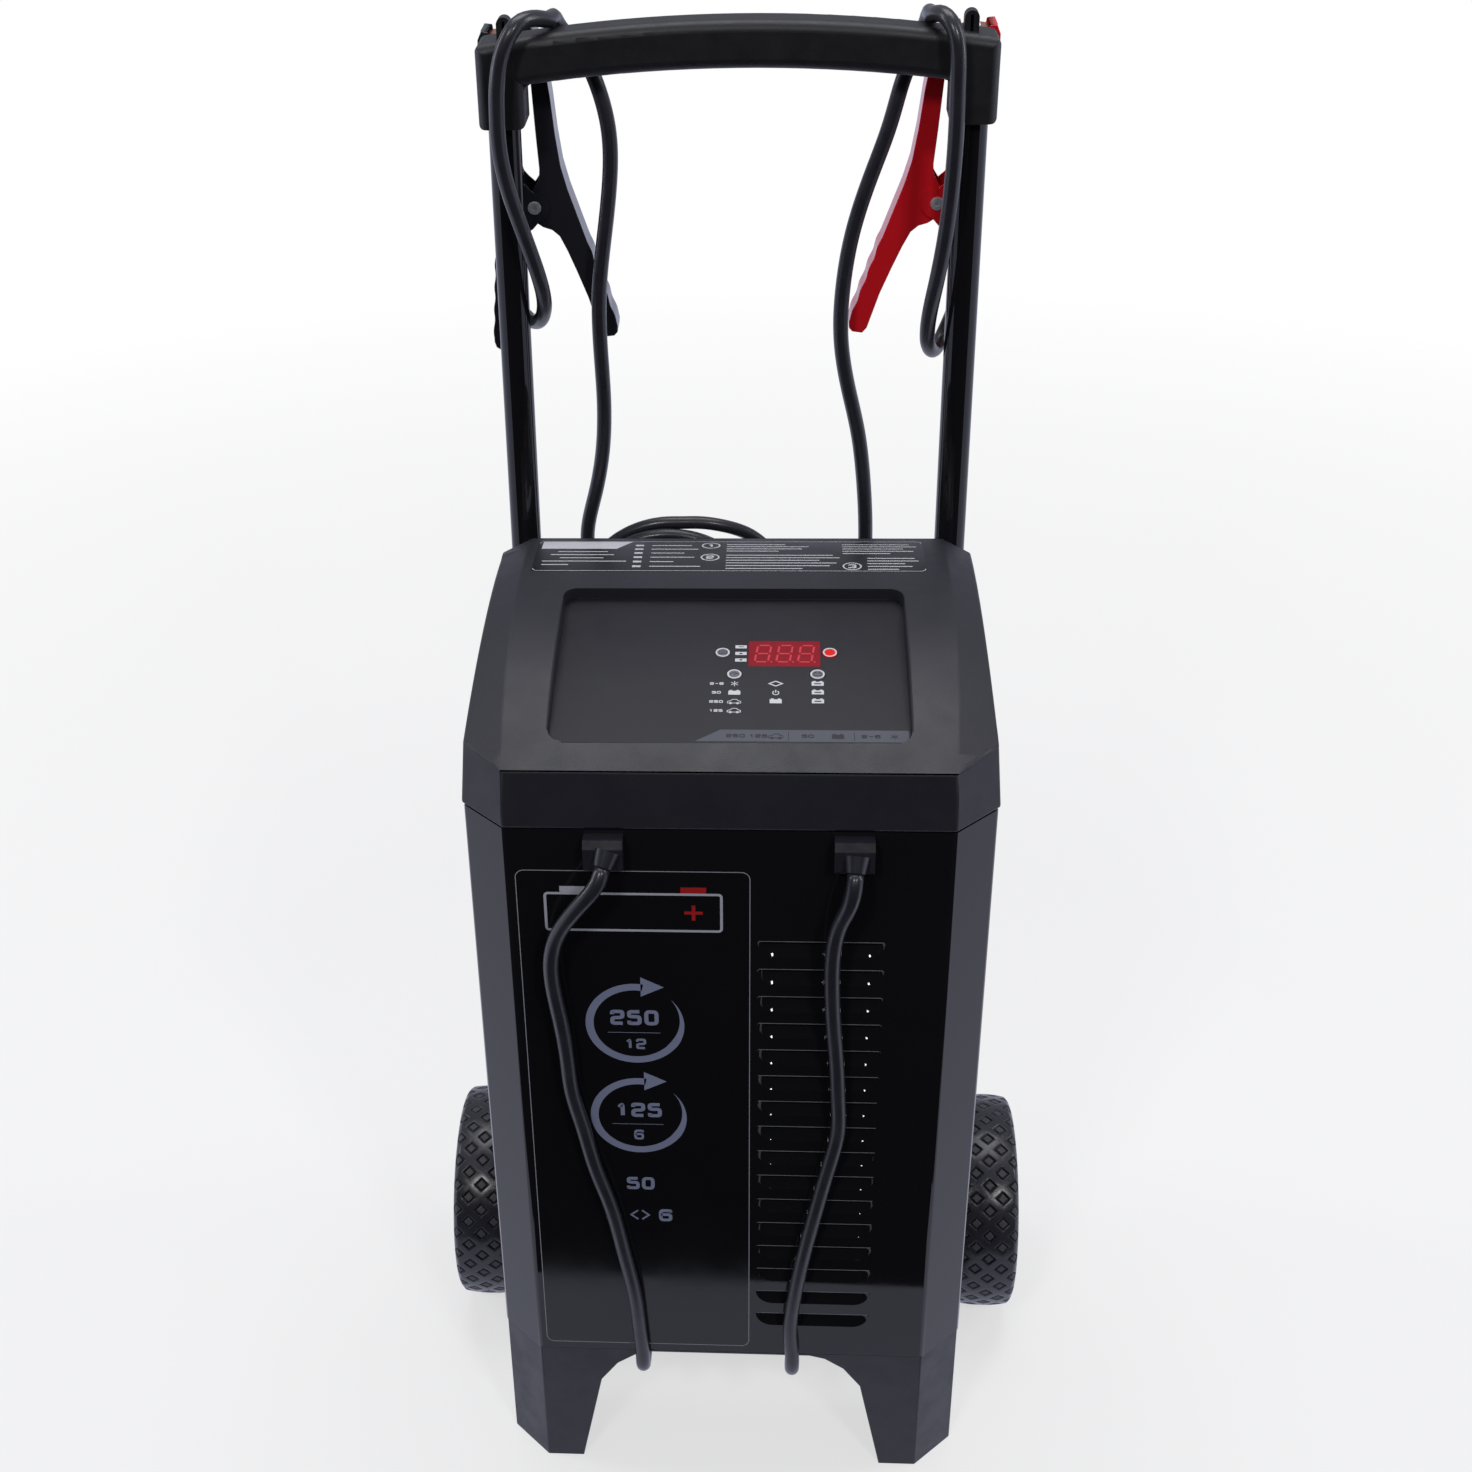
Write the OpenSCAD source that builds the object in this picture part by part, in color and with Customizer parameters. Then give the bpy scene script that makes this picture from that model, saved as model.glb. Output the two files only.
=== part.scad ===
// Wheeled battery charger and engine starter: a sheet-steel cabinet with a sloping control
// cover, a front foot bracket, two wheels on one axle, a tall two-tube handle with battery
// clamps parked on it, and a mains lead coiled on a hook at the back.
// Millimetres, +X to the right seen from the front, +Y to the back, +Z up.
// Origin: on the floor, under the middle of the bounding box.

/* [Cabinet] */
// Width across the flat sides
case_width = 290; // [280:1:300]
// Depth from the front face to the rear face
case_depth = 232; // [230:1:234]
// Height of the underside above the floor
case_bottom = 101; // [100:1:104]
// Height of the lower edge of the top cover
cover_bottom = 497; // [496:0.5:498]
// Shadow gap between the cabinet's upper edge and the cover
cover_gap = 1.5; // [1:0.5:2]
// Set-back of the 45 degree front corners
front_cut = 24.5; // [22:0.5:26]
// Set-back of the 45 degree rear corners
rear_cut = 20; // [18:0.5:21]
// Sheet thickness
sheet = 1.2; // [1:0.1:1.5]

/* [Louvres] */
// Number of louvres, one below the other
louvre_count = 16; // [10:1:16]
// Distance from one louvre to the next
louvre_pitch = 19.1; // [18:0.1:19.1]
// Height of the highest slit above the floor
louvre_top = 423.2; // [418:0.1:424]
// Width of a louvre
louvre_width = 70; // [60:1:72]
// Height of the pressed scoop below its slit
louvre_height = 10.5; // [8:0.5:11]
// Depth to which a scoop is pressed in at its slit
louvre_depth = 4.8; // [4:0.1:5.5]

/* [Top cover] */
// Radius of the convex crown, curved from front to back
crown_radius = 362.1; // [360:0.1:365]
// Inward lean of the cover's walls
cover_draft = 4.9; // [4:0.1:5.5]
// Fall of the two side bevels
bevel_tilt = 16; // [14:0.5:17]
// Wall thickness of the moulding
cover_wall = 3; // [2.5:0.1:3]
// Slope of the recessed control panel
panel_slope = 10; // [9.5:0.1:10.5]
// Length of the control panel up its slope
panel_length = 130; // [126:1:131]
// Half of the control panel's width
panel_half = 97; // [94:0.5:98]

/* [Buttons] */
// Travel of a push button
button_travel = 0.5; // [0.3:0.1:0.5]
// Radius of a button's cap
button_radius = 4.15; // [4:0.05:4.2]

/* [Wheels] */
// Radius of a tyre
wheel_radius = 73; // [72:0.5:74]
// Width of a tyre
tyre_width = 40; // [38:1:41]
// Distance of a tyre's outer face from the middle
wheel_outer = 191.7; // [190:0.1:193]
// Diameter of the axle
axle_d = 12.7; // [12:0.1:13]
// Radial running clearance of a hub on the axle
hub_clearance = 0.08; // [0.03:0.01:0.1]

/* [Handle] */
// Outer diameter of the handle tubes
tube_d = 18.5; // [18:0.1:19]
// Backward lean of the tubes
tube_lean = 2.9; // [2.5:0.1:3.2]
// Distance of a tube's axis from the middle
tube_x = 131.3; // [130.5:0.1:132]

/* [Cords] */
// Diameter of a battery cable
cable_d = 9; // [8.6:0.1:9]
// Diameter of the mains lead
lead_d = 8; // [7.6:0.1:8]

/* [Clamps] */
// Width of a clamp across its cheeks
clamp_width = 22; // [20:0.5:22]
// Radius of the parking post that a clamp grips
post_radius = 5.1; // [4.9:0.1:5.1]

/* [Hidden] */
$fn = 64;
// Distance from the front face back to the origin
origin_depth = 144;
half = case_width / 2;
case_top = cover_bottom - cover_gap;
case_height = case_top - case_bottom;
cover_back = case_depth + 2;
cover_rear_cut = 19;
overhang = 1;
cover_mid = 116;
root2 = sqrt(2);

louvre_x = 51;
louvre_r = (louvre_height * louvre_height + louvre_depth * louvre_depth) / (2 * louvre_depth);
louvre_run = louvre_width - 2 * louvre_height;

crown_y = 156.7;
crown_z = 203.5;
bevel_x = 120;
bevel_z = 531;

panel_y = 20.8;
panel_z = 535.5;
panel_corner = 8;
overlay_t = 0.5;
deck_t = 2.5;
board_top = -10.2;
board_t = 1.6;
switch_height = 4;
stem_end = board_top + switch_height + button_travel + 0.15;
button_places = [[54.8, 80.2], [-4.9, 79.8], [1.9, 60.7], [47.7, 60.9]];
led_places = [[2.2, 53.1], [2.2, 45.5], [2.2, 37.7], [2.2, 30.1], [24.8, 53.2], [24.8, 45.4],
    [24.8, 38.4], [47.7, 53.5], [47.7, 46.1], [47.7, 38.6]];
display_place = [29.5, 79.7];
window_size = [40, 22.6];
board_place = [24, 62];
board_size = [104, 78];
hole_radius = button_radius + 0.3;

axle_y = 174;
axle_z = wheel_radius;
wheel_mid = wheel_outer - tyre_width / 2;
rim_radius = 52;
hub_width = 34;
hub_web = 14;
bracket_x = 118;
bracket_t = 3;

tube_y = 252;
tube_z = 550;
tube_low = -198;
tube_high = 295;
socket_mid = 130.8;
post_x = 129.5;
post_z = 838;
post_end = 306;
saddle_heights = [380, 465];
screw_heights = [125, 250, 430];
screw_x = 97;
saddle_screw_x = 111;
relief_z = 481;
relief_plug = 6;
socket_width = 26.5;
socket_depth = 30;
socket_foot = 800.7;
socket_crest = 847.2;
socket_fillet = 3;
grip_height = 26;
grip_depth = 25;
grip_round = 6;
grip_half = socket_mid - socket_width / 2 - 5;
grip_y = 259.9;
socket_y = grip_y + (socket_depth - grip_depth) / 2;
grip_z = 844.6;
bow_radius = 900;
fillet_z = grip_z - bow_radius + sqrt((bow_radius - grip_height / 2) ^ 2 - 116 * 116);

clamp_y = 294;
clamp_reach = 92.5;
clamp_sheet = 1.3;
black_tilt = 6.6;
red_tilt = 8.4;
jaw_face = post_radius + 0.4;

fan_x = 50;
fan_z = 330;
fan_size = 80;
fan_depth = 25;

coil_x = -41;
coil_z = 497.8;
coil_start = 59;
coil_pitch = 8.6;
coil_in = 2.75;
coil_out = 2.5;
coil_back = 255.2;
coil_front = 246.4;
coil_steps = 24;
gland_x = 30;
gland_z = 455;

satin_black = [0.10, 0.10, 0.11];
gloss_black = [0.05, 0.05, 0.06];
charcoal = [0.17, 0.17, 0.18];
rubber_black = [0.07, 0.07, 0.07];
steel_grey = [0.62, 0.63, 0.65];
copper = [0.72, 0.43, 0.25];
deep_red = [0.62, 0.05, 0.06];
board_green = [0.10, 0.32, 0.18];
white_grey = [0.85, 0.85, 0.86];

// Centre line of the left battery cable, from the front relief, under the cabinet and over the
// axle, up the back, over the grip and round the left tube into the black clamp.
left_route = [[-66.6, -14, 481], [-68.8, -18.6, 474.8], [-76, -19.5, 464], [-85, -17.5, 451],
    [-93.5, -14, 434], [-97.5, -12, 415], [-97, -10, 394], [-94.5, -9, 373], [-92, -8, 345],
    [-90.5, -7, 320], [-85.5, -6, 293], [-79, -6, 260], [-71, -6, 230], [-64, -6, 191],
    [-58.5, -6, 156], [-56, -6, 121], [-55, -5.8, 104], [-55, -5, 96], [-55, -1.5, 90],
    [-55, 6, 86], [-55, 26, 84.5], [-55, 60, 83], [-56, 100, 82], [-58, 140, 83.5],
    [-60, 174, 84.6], [-62, 208, 83.8], [-64, 234, 85], [-64, 253, 91], [-64, 265, 104],
    [-64, 270, 122], [-63, 270, 160], [-61, 270, 220], [-59, 270, 290], [-60, 270, 350],
    [-66, 270, 410], [-78, 270, 462], [-90, 270, 506], [-94.5, 270, 542], [-89, 270, 568],
    [-83, 270, 598], [-81, 270, 633], [-82, 271, 666], [-81.5, 272, 700], [-77.5, 273, 732],
    [-73, 275, 769], [-73.5, 276.5, 795], [-80, 278.4, 820], [-88, 279, 836], [-94.5, 278.7, 844],
    [-98, 277.6, 848.6], [-99.8, 275.3, 852.3], [-100.6, 273.6, 854.6],
    [-101.3, 270.6, 856.5], [-103.3, 262, 857],
    [-108.4, 252, 859.6], [-115, 243.5, 860.3], [-119, 239, 858.4], [-122.8, 236.5, 853.3],
    [-126.6, 235.8, 845.5], [-128.9, 235.8, 837.5], [-130.8, 236, 825.6], [-131.6, 236.7, 812],
    [-131.8, 238, 796],
    [-129, 240, 773], [-123.5, 241, 752], [-117.5, 243, 731], [-113, 247, 711],
    [-113, 256, 695], [-117, 268, 683.5], [-122, 279, 678.5], [-128, 288, 678.5],
    [-133.5, 293, 684.5], [-136, 294, 694], [-136, 294, 707], [-136, 294, 716]];
// Centre line of the right battery cable, the same way into the red clamp.
right_route = [[67.8, -14, 479], [67.1, -18.6, 472.5], [64.8, -19, 461], [60, -16, 446],
    [57, -13.5, 424], [57, -12, 403], [58.5, -10, 374], [61, -8, 344], [62.5, -7, 317],
    [63, -6, 292], [59, -6, 268], [54, -6, 243], [48, -6, 211], [43.5, -6, 185], [39, -6, 151],
    [37.5, -6, 124], [39, -5.8, 104], [39, -5, 96], [39, -1.5, 90], [39, 6, 86],
    [40, 26, 84.5], [40, 60, 83], [41, 100, 82], [43, 140, 83.5], [45, 174, 84.6],
    [47, 208, 83.8], [49, 234, 85], [50, 253, 91], [50, 265, 104], [51, 270, 122],
    [53, 270, 160], [56, 270, 220], [60, 270, 290], [66, 270, 360], [73, 270, 430],
    [79, 270, 490], [80.5, 270, 542], [78, 270, 580], [73.5, 270, 612], [66.5, 270, 642],
    [62, 271, 671], [62.5, 272, 701], [67.5, 273, 734], [77.5, 275, 767], [87, 276.5, 795],
    [93.5, 278.4, 819], [98.5, 279, 832], [102.3, 278.8, 842], [104.3, 277.8, 848],
    [105.2, 275.4, 852], [105.5, 273.5, 854.3], [105.8, 270.6, 855.9], [106.6, 262, 856.6],
    [109.4, 252, 859],
    [113.3, 243.7, 858.7], [117, 239, 853.8], [119.4, 236.5, 844], [120.3, 236.2, 827],
    [120.8, 236.8, 806], [120.5, 238, 778], [118.5, 240, 744], [115, 243, 715], [112, 252, 688],
    [113, 262, 670], [117, 273, 661.5], [121, 283, 662], [125.5, 291, 668.5],
    [130.4, 294, 681], [132.3, 294, 695], [132.3, 294, 707], [132.3, 294, 716]];
// Centre line of the mains lead from its relief to the coil.
lead_route = [[30, 258, 455], [30, 266, 455], [30.5, 275, 460], [31, 279, 473], [31, 278, 493],
    [28, 273, 515], [20, 266, 533], [7, 260, 547], [-8, 256.5, 554], [-22, 255.2, 556.8],
    [-33, 255.2, 556.8]];

// The parts, one name each.

// ---- Frames and shared shapes ----

// Moves a piece from the cabinet's front face to the origin.
module placed() {
    translate([0, -origin_depth, 0]) children();
}

// Cabinet outline seen from above, set inward by inset.
function plan(inset) = [
    [half - inset, front_cut + (root2 - 1) * inset],
    [half - inset, case_depth - rear_cut - (root2 - 1) * inset],
    [half - rear_cut - (root2 - 1) * inset, case_depth - inset],
    [rear_cut - half + (root2 - 1) * inset, case_depth - inset],
    [inset - half, case_depth - rear_cut - (root2 - 1) * inset],
    [inset - half, front_cut + (root2 - 1) * inset],
    [front_cut - half + (root2 - 1) * inset, inset],
    [half - front_cut - (root2 - 1) * inset, inset]
];

// Rectangle with round corners, centred.
module round_rect(width, depth, r) {
    square([width - 2 * r, depth], center = true);
    square([width, depth - 2 * r], center = true);
    for (x = [-1, 1], y = [-1, 1])
        translate([x * (width / 2 - r), y * (depth / 2 - r)]) circle(r);
}

// Rod along X.
module rod_x(r, length) {
    rotate([0, 90, 0]) cylinder(r = r, h = length, center = true);
}

// Rod along +Y from the current point.
module rod_y(r, length) {
    rotate([-90, 0, 0]) cylinder(r = r, h = length);
}

// Control panel frame: X across, Y up the slope, Z out of the panel, zero on its face.
module on_panel() {
    placed() translate([0, panel_y, panel_z]) rotate([panel_slope, 0, 0]) children();
}

// Handle tube frame: Z along the tube, zero where the tube leaves the cover's back edge.
module on_tube(side) {
    placed() translate([side * tube_x, tube_y, tube_z]) rotate([-tube_lean, 0, 0]) children();
}

// Clamp frame: X away from the parking post's outer side, Z up the clamp, zero on the rivet.
module on_clamp(side, tilt) {
    rivet = [-post_x + clamp_reach * sin(tilt), post_z - clamp_reach * cos(tilt)];
    mirror([side > 0 ? 1 : 0, 0, 0])
        placed() translate([rivet[0], clamp_y, rivet[1]]) rotate([0, -tilt, 0]) children();
}

// ---- Tube swept along a line of points ----

function unit(v) = v / norm(v);
function course(p, i) = unit(p[min(i + 1, len(p) - 1)] - p[max(i - 1, 0)]);
// Side directions carried along the line without twist.
function carried(p, i, last) =
    let(t = course(p, i), u = unit(last - (last * t) * t))
    i == len(p) - 1 ? [u] : concat([u], carried(p, i + 1, u));
function ring(centre, t, u, r, sides) =
    let(w = cross(t, u)) [for (k = [0 : sides - 1])
        centre + r * (cos(360 * k / sides) * u + sin(360 * k / sides) * w)];
function tube_faces(rings, sides) = concat(
    [for (k = [1 : sides - 2]) [0, k, k + 1]],
    [for (i = [0 : rings - 2], k = [0 : sides - 1])
        [i * sides + k, (i + 1) * sides + k, i * sides + (k + 1) % sides]],
    [for (i = [0 : rings - 2], k = [0 : sides - 1])
        [(i + 1) * sides + k, (i + 1) * sides + (k + 1) % sides, i * sides + (k + 1) % sides]],
    [for (k = [1 : sides - 2])
        [(rings - 1) * sides, (rings - 1) * sides + k + 1, (rings - 1) * sides + k]]);

module swept(p, r, sides, side) {
    dirs = carried(p, 0, side);
    points = [for (i = [0 : len(p) - 1]) each ring(p[i], course(p, i), dirs[i], r, sides)];
    polyhedron(points, tube_faces(len(p), sides));
}

// ---- Cabinet ----

// Space of one louvre, a long round-ended dish, its slit on the plane Z = 0.
module louvre_dish(r) {
    translate([louvre_x, louvre_depth - louvre_r, 0]) rotate([0, 90, 0]) rotate_extrude()
        intersection() {
            union() {
                translate([0, -louvre_run / 2]) square([r, louvre_run]);
                for (s = [-1, 1]) translate([0, s * louvre_run / 2]) circle(r);
            }
            translate([0, -louvre_width]) square([2 * r, 2 * louvre_width]);
        }
}

// Keeps what lies below the slit and not in front of the given depth.
module below_slit(depth) {
    intersection() {
        children();
        translate([0, depth, -2 * louvre_height])
            cube([case_width, 4 * louvre_height, 2 * louvre_height]);
    }
}

module louvre_rows() {
    for (i = [0 : louvre_count - 1]) translate([0, 0, louvre_top - i * louvre_pitch]) children();
}

module case_wrapper() color(gloss_black) placed() difference() {
    union() {
        difference() {
            translate([0, 0, case_bottom]) linear_extrude(case_height) difference() {
                polygon(plan(0));
                polygon(plan(sheet));
            }
            translate([-90, case_depth - 2 * sheet, case_bottom - 1])
                cube([180, 3 * sheet, case_height + 2]);
            louvre_rows() below_slit(-1) louvre_dish(louvre_r);
        }
        louvre_rows() below_slit(0) difference() {
            louvre_dish(louvre_r + sheet);
            louvre_dish(louvre_r);
        }
    }
    for (x = [-66.6, 67.8]) translate([x, -1, relief_z]) rod_y(relief_plug + 0.1, 4);
    screw_holes();
}

// Holes for the screws of the rear panel and of the tube saddles.
module screw_holes() {
    for (x = [-1, 1], z = screw_heights)
        translate([x * screw_x, case_depth - 8, z]) rod_y(2, 20);
    for (x = [-1, 1], z = saddle_heights)
        translate([x * saddle_screw_x, case_depth - 8, z]) rod_y(2.25, 20);
}

module case_floor() color(gloss_black) placed() {
    difference() {
        translate([0, 0, case_bottom]) linear_extrude(12) polygon(plan(sheet));
        translate([0, 0, case_bottom + sheet]) linear_extrude(12) polygon(plan(2 * sheet));
    }
}

module rear_panel() color(gloss_black) placed() difference() {
    translate([-103, case_depth, case_bottom + 1]) cube([206, sheet, case_height - 3]);
    // Fan grille: a round field of slots.
    intersection() {
        translate([fan_x, case_depth - 1, fan_z]) rod_y(36, 4);
        for (i = [-5 : 5])
            translate([fan_x - 40, case_depth - 1, fan_z + i * 6.5 - 1.9]) cube([80, 4, 3.8]);
    }
    translate([gland_x, case_depth - 1, gland_z]) rod_y(8, 4);
    screw_holes();
    // Four slots low down that let air in.
    for (i = [0 : 3], s = [-1, 1])
        translate([s * 50 - 30, case_depth - 1, 130 + i * 12]) cube([60, 4, 4]);
}

// ---- Top cover ----

// Block on the inner side of one cover wall, leaning inward as it rises.
module wall_block(angle, distance) {
    translate([0, cover_mid, cover_bottom]) rotate([0, 0, angle]) translate([distance, 0, 0])
        rotate([0, -cover_draft, 0]) translate([-500, -400, -60]) cube([500, 800, 200]);
}

module crown_rod(inset) {
    translate([0, crown_y, crown_z]) rod_x(crown_radius - inset, 760);
}

// The crown's surface swung down about the fold line of one side bevel.
module bevel_rod(s, inset) {
    translate([s * bevel_x, 0, bevel_z]) rotate([0, s * bevel_tilt, 0])
        translate([-s * bevel_x, 0, -bevel_z]) crown_rod(inset);
}

// Outer form of the cover, set inward by inset.
module cover_block(inset) {
    o = overhang - inset;
    intersection() {
        wall_block(0, half + o);
        wall_block(180, half + o);
        wall_block(-90, cover_mid + o);
        wall_block(90, cover_back - cover_mid + o);
        wall_block(-45, (half - front_cut + cover_mid) / root2 + o);
        wall_block(-135, (half - front_cut + cover_mid) / root2 + o);
        wall_block(45, (half - cover_rear_cut + cover_back - cover_mid) / root2 + o);
        wall_block(135, (half - cover_rear_cut + cover_back - cover_mid) / root2 + o);
        crown_rod(inset);
        bevel_rod(-1, inset);
        bevel_rod(1, inset);
        translate([-half - 5, -5, cover_bottom]) cube([case_width + 10, 260, 80]);
    }
}

// Outline of the recess in panel coordinates, grown by margin.
module recess_outline(margin) {
    translate([0, panel_length / 2])
        round_rect(2 * (panel_half + margin), panel_length + 2 * margin, panel_corner + margin);
}

module top_cover() color(charcoal) difference() {
    union() {
        placed() difference() {
            cover_block(0);
            cover_block(cover_wall);
        }
        // Tub of the recessed panel.
        intersection() {
            placed() cover_block(0);
            on_panel() translate([0, 0, -overlay_t - deck_t]) linear_extrude(40)
                recess_outline(cover_wall);
        }
        // Lip that sits inside the cabinet's upper edge.
        placed() translate([0, 0, case_top - 8]) linear_extrude(cover_gap + 11) difference() {
            polygon(plan(sheet + 0.2));
            polygon(plan(sheet + 2.4));
        }
        // Posts that carry the control board.
        for (x = [-1, 1], y = [-1, 1])
            on_panel() translate([board_place[0] + x * (board_size[0] / 2 - 5),
                board_place[1] + y * (board_size[1] / 2 - 5), board_top])
                cylinder(r = 3, h = -board_top - overlay_t - 1);
    }
    on_panel() translate([0, 0, -overlay_t]) linear_extrude(40) recess_outline(0);
    on_panel() translate([display_place[0], display_place[1], -4])
        linear_extrude(8) square(window_size + [0.2, 0.2], center = true);
    on_panel() for (p = button_places) translate([p[0], p[1], -4]) cylinder(r = hole_radius, h = 8);
    on_panel() for (p = led_places) translate([p[0], p[1], -4]) cylinder(r = 1.7, h = 8);
}

module control_overlay() color([0.22, 0.22, 0.25]) on_panel() difference() {
    translate([0, 0, -overlay_t]) linear_extrude(overlay_t) translate([0, panel_length / 2])
        round_rect(2 * panel_half - 1, panel_length - 1, panel_corner - 0.5);
    translate([display_place[0], display_place[1], -1])
        linear_extrude(2) square(window_size + [0.2, 0.2], center = true);
    for (p = button_places) translate([p[0], p[1], -1]) cylinder(r = hole_radius, h = 2);
}

module display_window() color([0.64, 0.12, 0.16]) on_panel()
    translate([display_place[0], display_place[1], -2.2]) linear_extrude(2.2)
        square(window_size, center = true);

module display_module() color([0.15, 0.05, 0.05]) on_panel()
    translate([display_place[0], display_place[1], board_top]) linear_extrude(-board_top - 2.2)
        square([37.6, 19], center = true);

// Cap, retaining flange and stem of one push button.
module push_button(place) {
    on_panel() translate([place[0], place[1], 0]) {
        translate([0, 0, -3.2]) cylinder(r = button_radius, h = 3.9);
        translate([0, 0, -3.9]) cylinder(r = button_radius + 1.1, h = 0.6);
        translate([0, 0, stem_end]) cylinder(r = 1.75, h = -3.5 - stem_end);
    }
}

module start_button() color([0.85, 0.12, 0.10]) push_button(button_places[0]);
module readout_button() color([0.30, 0.30, 0.34]) push_button(button_places[1]);
module rate_button() color([0.30, 0.30, 0.34]) push_button(button_places[2]);
module battery_button() color([0.30, 0.30, 0.34]) push_button(button_places[3]);

module indicator_lamps() color(white_grey) on_panel() for (p = led_places)
    translate([p[0], p[1], board_top]) {
        cylinder(r = 1.5, h = 7);
        translate([0, 0, 7]) sphere(1.5);
        cylinder(r = 1.9, h = 1);
    }

module control_board() color(board_green) on_panel()
    translate([board_place[0], board_place[1], board_top - board_t]) linear_extrude(board_t)
        difference() {
            square(board_size, center = true);
            for (x = [-1, 1], y = [-1, 1])
                translate([x * (board_size[0] / 2 - 5), y * (board_size[1] / 2 - 5)]) circle(1.6);
        }

module tact_switches() color([0.2, 0.2, 0.2]) on_panel() for (p = button_places)
    translate([p[0], p[1], board_top]) {
        linear_extrude(switch_height - 0.5) square(6, center = true);
        cylinder(r = 1.75, h = switch_height);
    }

// ---- Inside the cabinet ----

module transformer_core() color(steel_grey) placed() translate([-15, 85, case_bottom + 16])
    rotate([90, 0, 180]) linear_extrude(70) difference() {
        translate([-66, 0]) square([132, 110]);
        for (s = [-1, 1]) translate([s * 33 - 11, 22]) square([22, 66]);
    }

module transformer_winding() color(copper) placed()
    translate([-15, 120, case_bottom + 16 + 22.3]) linear_extrude(65.4) difference() {
        round_rect(87, 106, 14);
        square([44.4, 70.4], center = true);
    }

module transformer_frame() color(steel_grey) placed() for (s = [0, 1])
    translate([-15, 120, case_bottom + sheet]) rotate([0, 0, s * 180])
        rotate([90, 0, 90]) translate([0, 0, -60]) linear_extrude(120)
            polygon([[35, 14.8], [40, 14.8], [40, 2], [56, 2], [56, 0], [38, 0], [38, 10], [35, 10]]);

module rectifier_plate() color([0.75, 0.76, 0.78]) placed() {
    translate([96, 60, case_bottom + sheet]) cube([4, 110, 150]);
    translate([82, 60, case_bottom + sheet]) cube([15, 110, 3]);
}

module rectifier_diodes() color(steel_grey) placed()
    for (y = [90, 140], z = [180, 225]) translate([96, y, z]) rotate([0, -90, 0]) {
        cylinder(r = 13, h = 5);
        cylinder(r = 9, h = 11);
        cylinder(r = 2, h = 20);
    }

module fan_frame() color([0.12, 0.12, 0.12]) placed() translate([fan_x, 0, fan_z]) {
    difference() {
        translate([0, case_depth - fan_depth, 0]) rotate([-90, 0, 0]) linear_extrude(fan_depth)
            difference() {
                round_rect(fan_size, fan_size, 4);
                circle(37.5);
            }
        for (x = [-1, 1], z = [-1, 1])
            translate([x * 35.5, case_depth - fan_depth - 1, z * 35.5]) rod_y(2, fan_depth + 2);
    }
    // Spider, boss and spindle that carry the rotor.
    for (a = [45, 165, 285]) rotate([0, a, 0])
        translate([0, case_depth - fan_depth, -2]) cube([38, 3, 4]);
    translate([0, case_depth - fan_depth, 0]) rod_y(15, 4);
    translate([0, case_depth - fan_depth, 0]) rod_y(1.5, 20);
}

module fan_rotor() color([0.16, 0.16, 0.16]) placed() translate([fan_x, 0, fan_z]) difference() {
    union() {
        translate([0, case_depth - fan_depth + 4.5, 0]) rod_y(16, 18);
        intersection() {
            for (i = [0 : 6]) rotate([0, i * 360 / 7, 0])
                translate([14, case_depth - fan_depth + 13, 0]) rotate([38, 0, 0])
                    translate([0, -12, -0.8]) cube([24, 24, 1.6]);
            translate([0, case_depth - fan_depth + 5.5, 0]) rod_y(36, 16);
        }
    }
    translate([0, case_depth - fan_depth, 0]) rod_y(1.55, 20.5);
}

module circuit_breaker() color([0.1, 0.1, 0.1]) placed() {
    translate([50, case_depth - 25, 184]) cube([34, 25, 20]);
    for (x = [58, 71]) translate([x, case_depth - 31, 190]) cube([5, 7, 1]);
}

module start_relay() color([0.1, 0.1, 0.12]) placed() translate([-110, 60, case_bottom + sheet]) {
    cube([26, 50, 40]);
    for (y = [12, 38]) translate([13, y, 39]) cylinder(r = 3, h = 12);
}

// ---- Feet, axle and wheels ----

// Opening between the feet, narrowing upward to an arch.
module foot_arch() {
    translate([0, -5, 0]) rotate([90, 0, 180]) linear_extrude(80)
        polygon([[-97, -1], [-82.5, 72], [-71.5, 87.5], [-59.5, 96], [-50, 98.5], [50, 98.5],
            [59.5, 96], [71.5, 87.5], [82.5, 72], [97, -1]]);
}

module foot_bracket() color(satin_black) placed() difference() {
    intersection() {
        linear_extrude(case_bottom) difference() {
            polygon(plan(0.8));
            polygon(plan(3.8));
            translate([-half, 74]) square([case_width, case_depth]);
        }
        // The side returns are cut back towards the floor.
        rotate([90, 0, 90]) translate([0, 0, -half]) linear_extrude(case_width)
            polygon([[-1, 0], [52, 0], [74, case_bottom], [-1, case_bottom]]);
    }
    foot_arch();
}

module axle() color(steel_grey) placed() translate([0, axle_y, axle_z])
    rod_x(axle_d / 2, 2 * (wheel_mid + hub_width / 2 + 0.3 + 1.2));

// A hanger on each side: a plate with the axle's bore and a flange under the cabinet.
module axle_brackets() color(satin_black) placed() for (s = [-1, 1]) mirror([s > 0 ? 1 : 0, 0, 0]) {
    difference() {
        translate([-bracket_x - bracket_t, 0, 0]) rotate([90, 0, 90]) linear_extrude(bracket_t)
            polygon([[axle_y - 34, case_bottom], [axle_y + 34, case_bottom],
                [axle_y + 14, axle_z - 14], [axle_y - 14, axle_z - 14]]);
        translate([-bracket_x - bracket_t / 2, axle_y, axle_z]) rod_x(axle_d / 2, 10);
    }
    translate([-bracket_x, axle_y - 34, case_bottom - bracket_t])
        cube([20, 68, bracket_t]);
}

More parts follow.
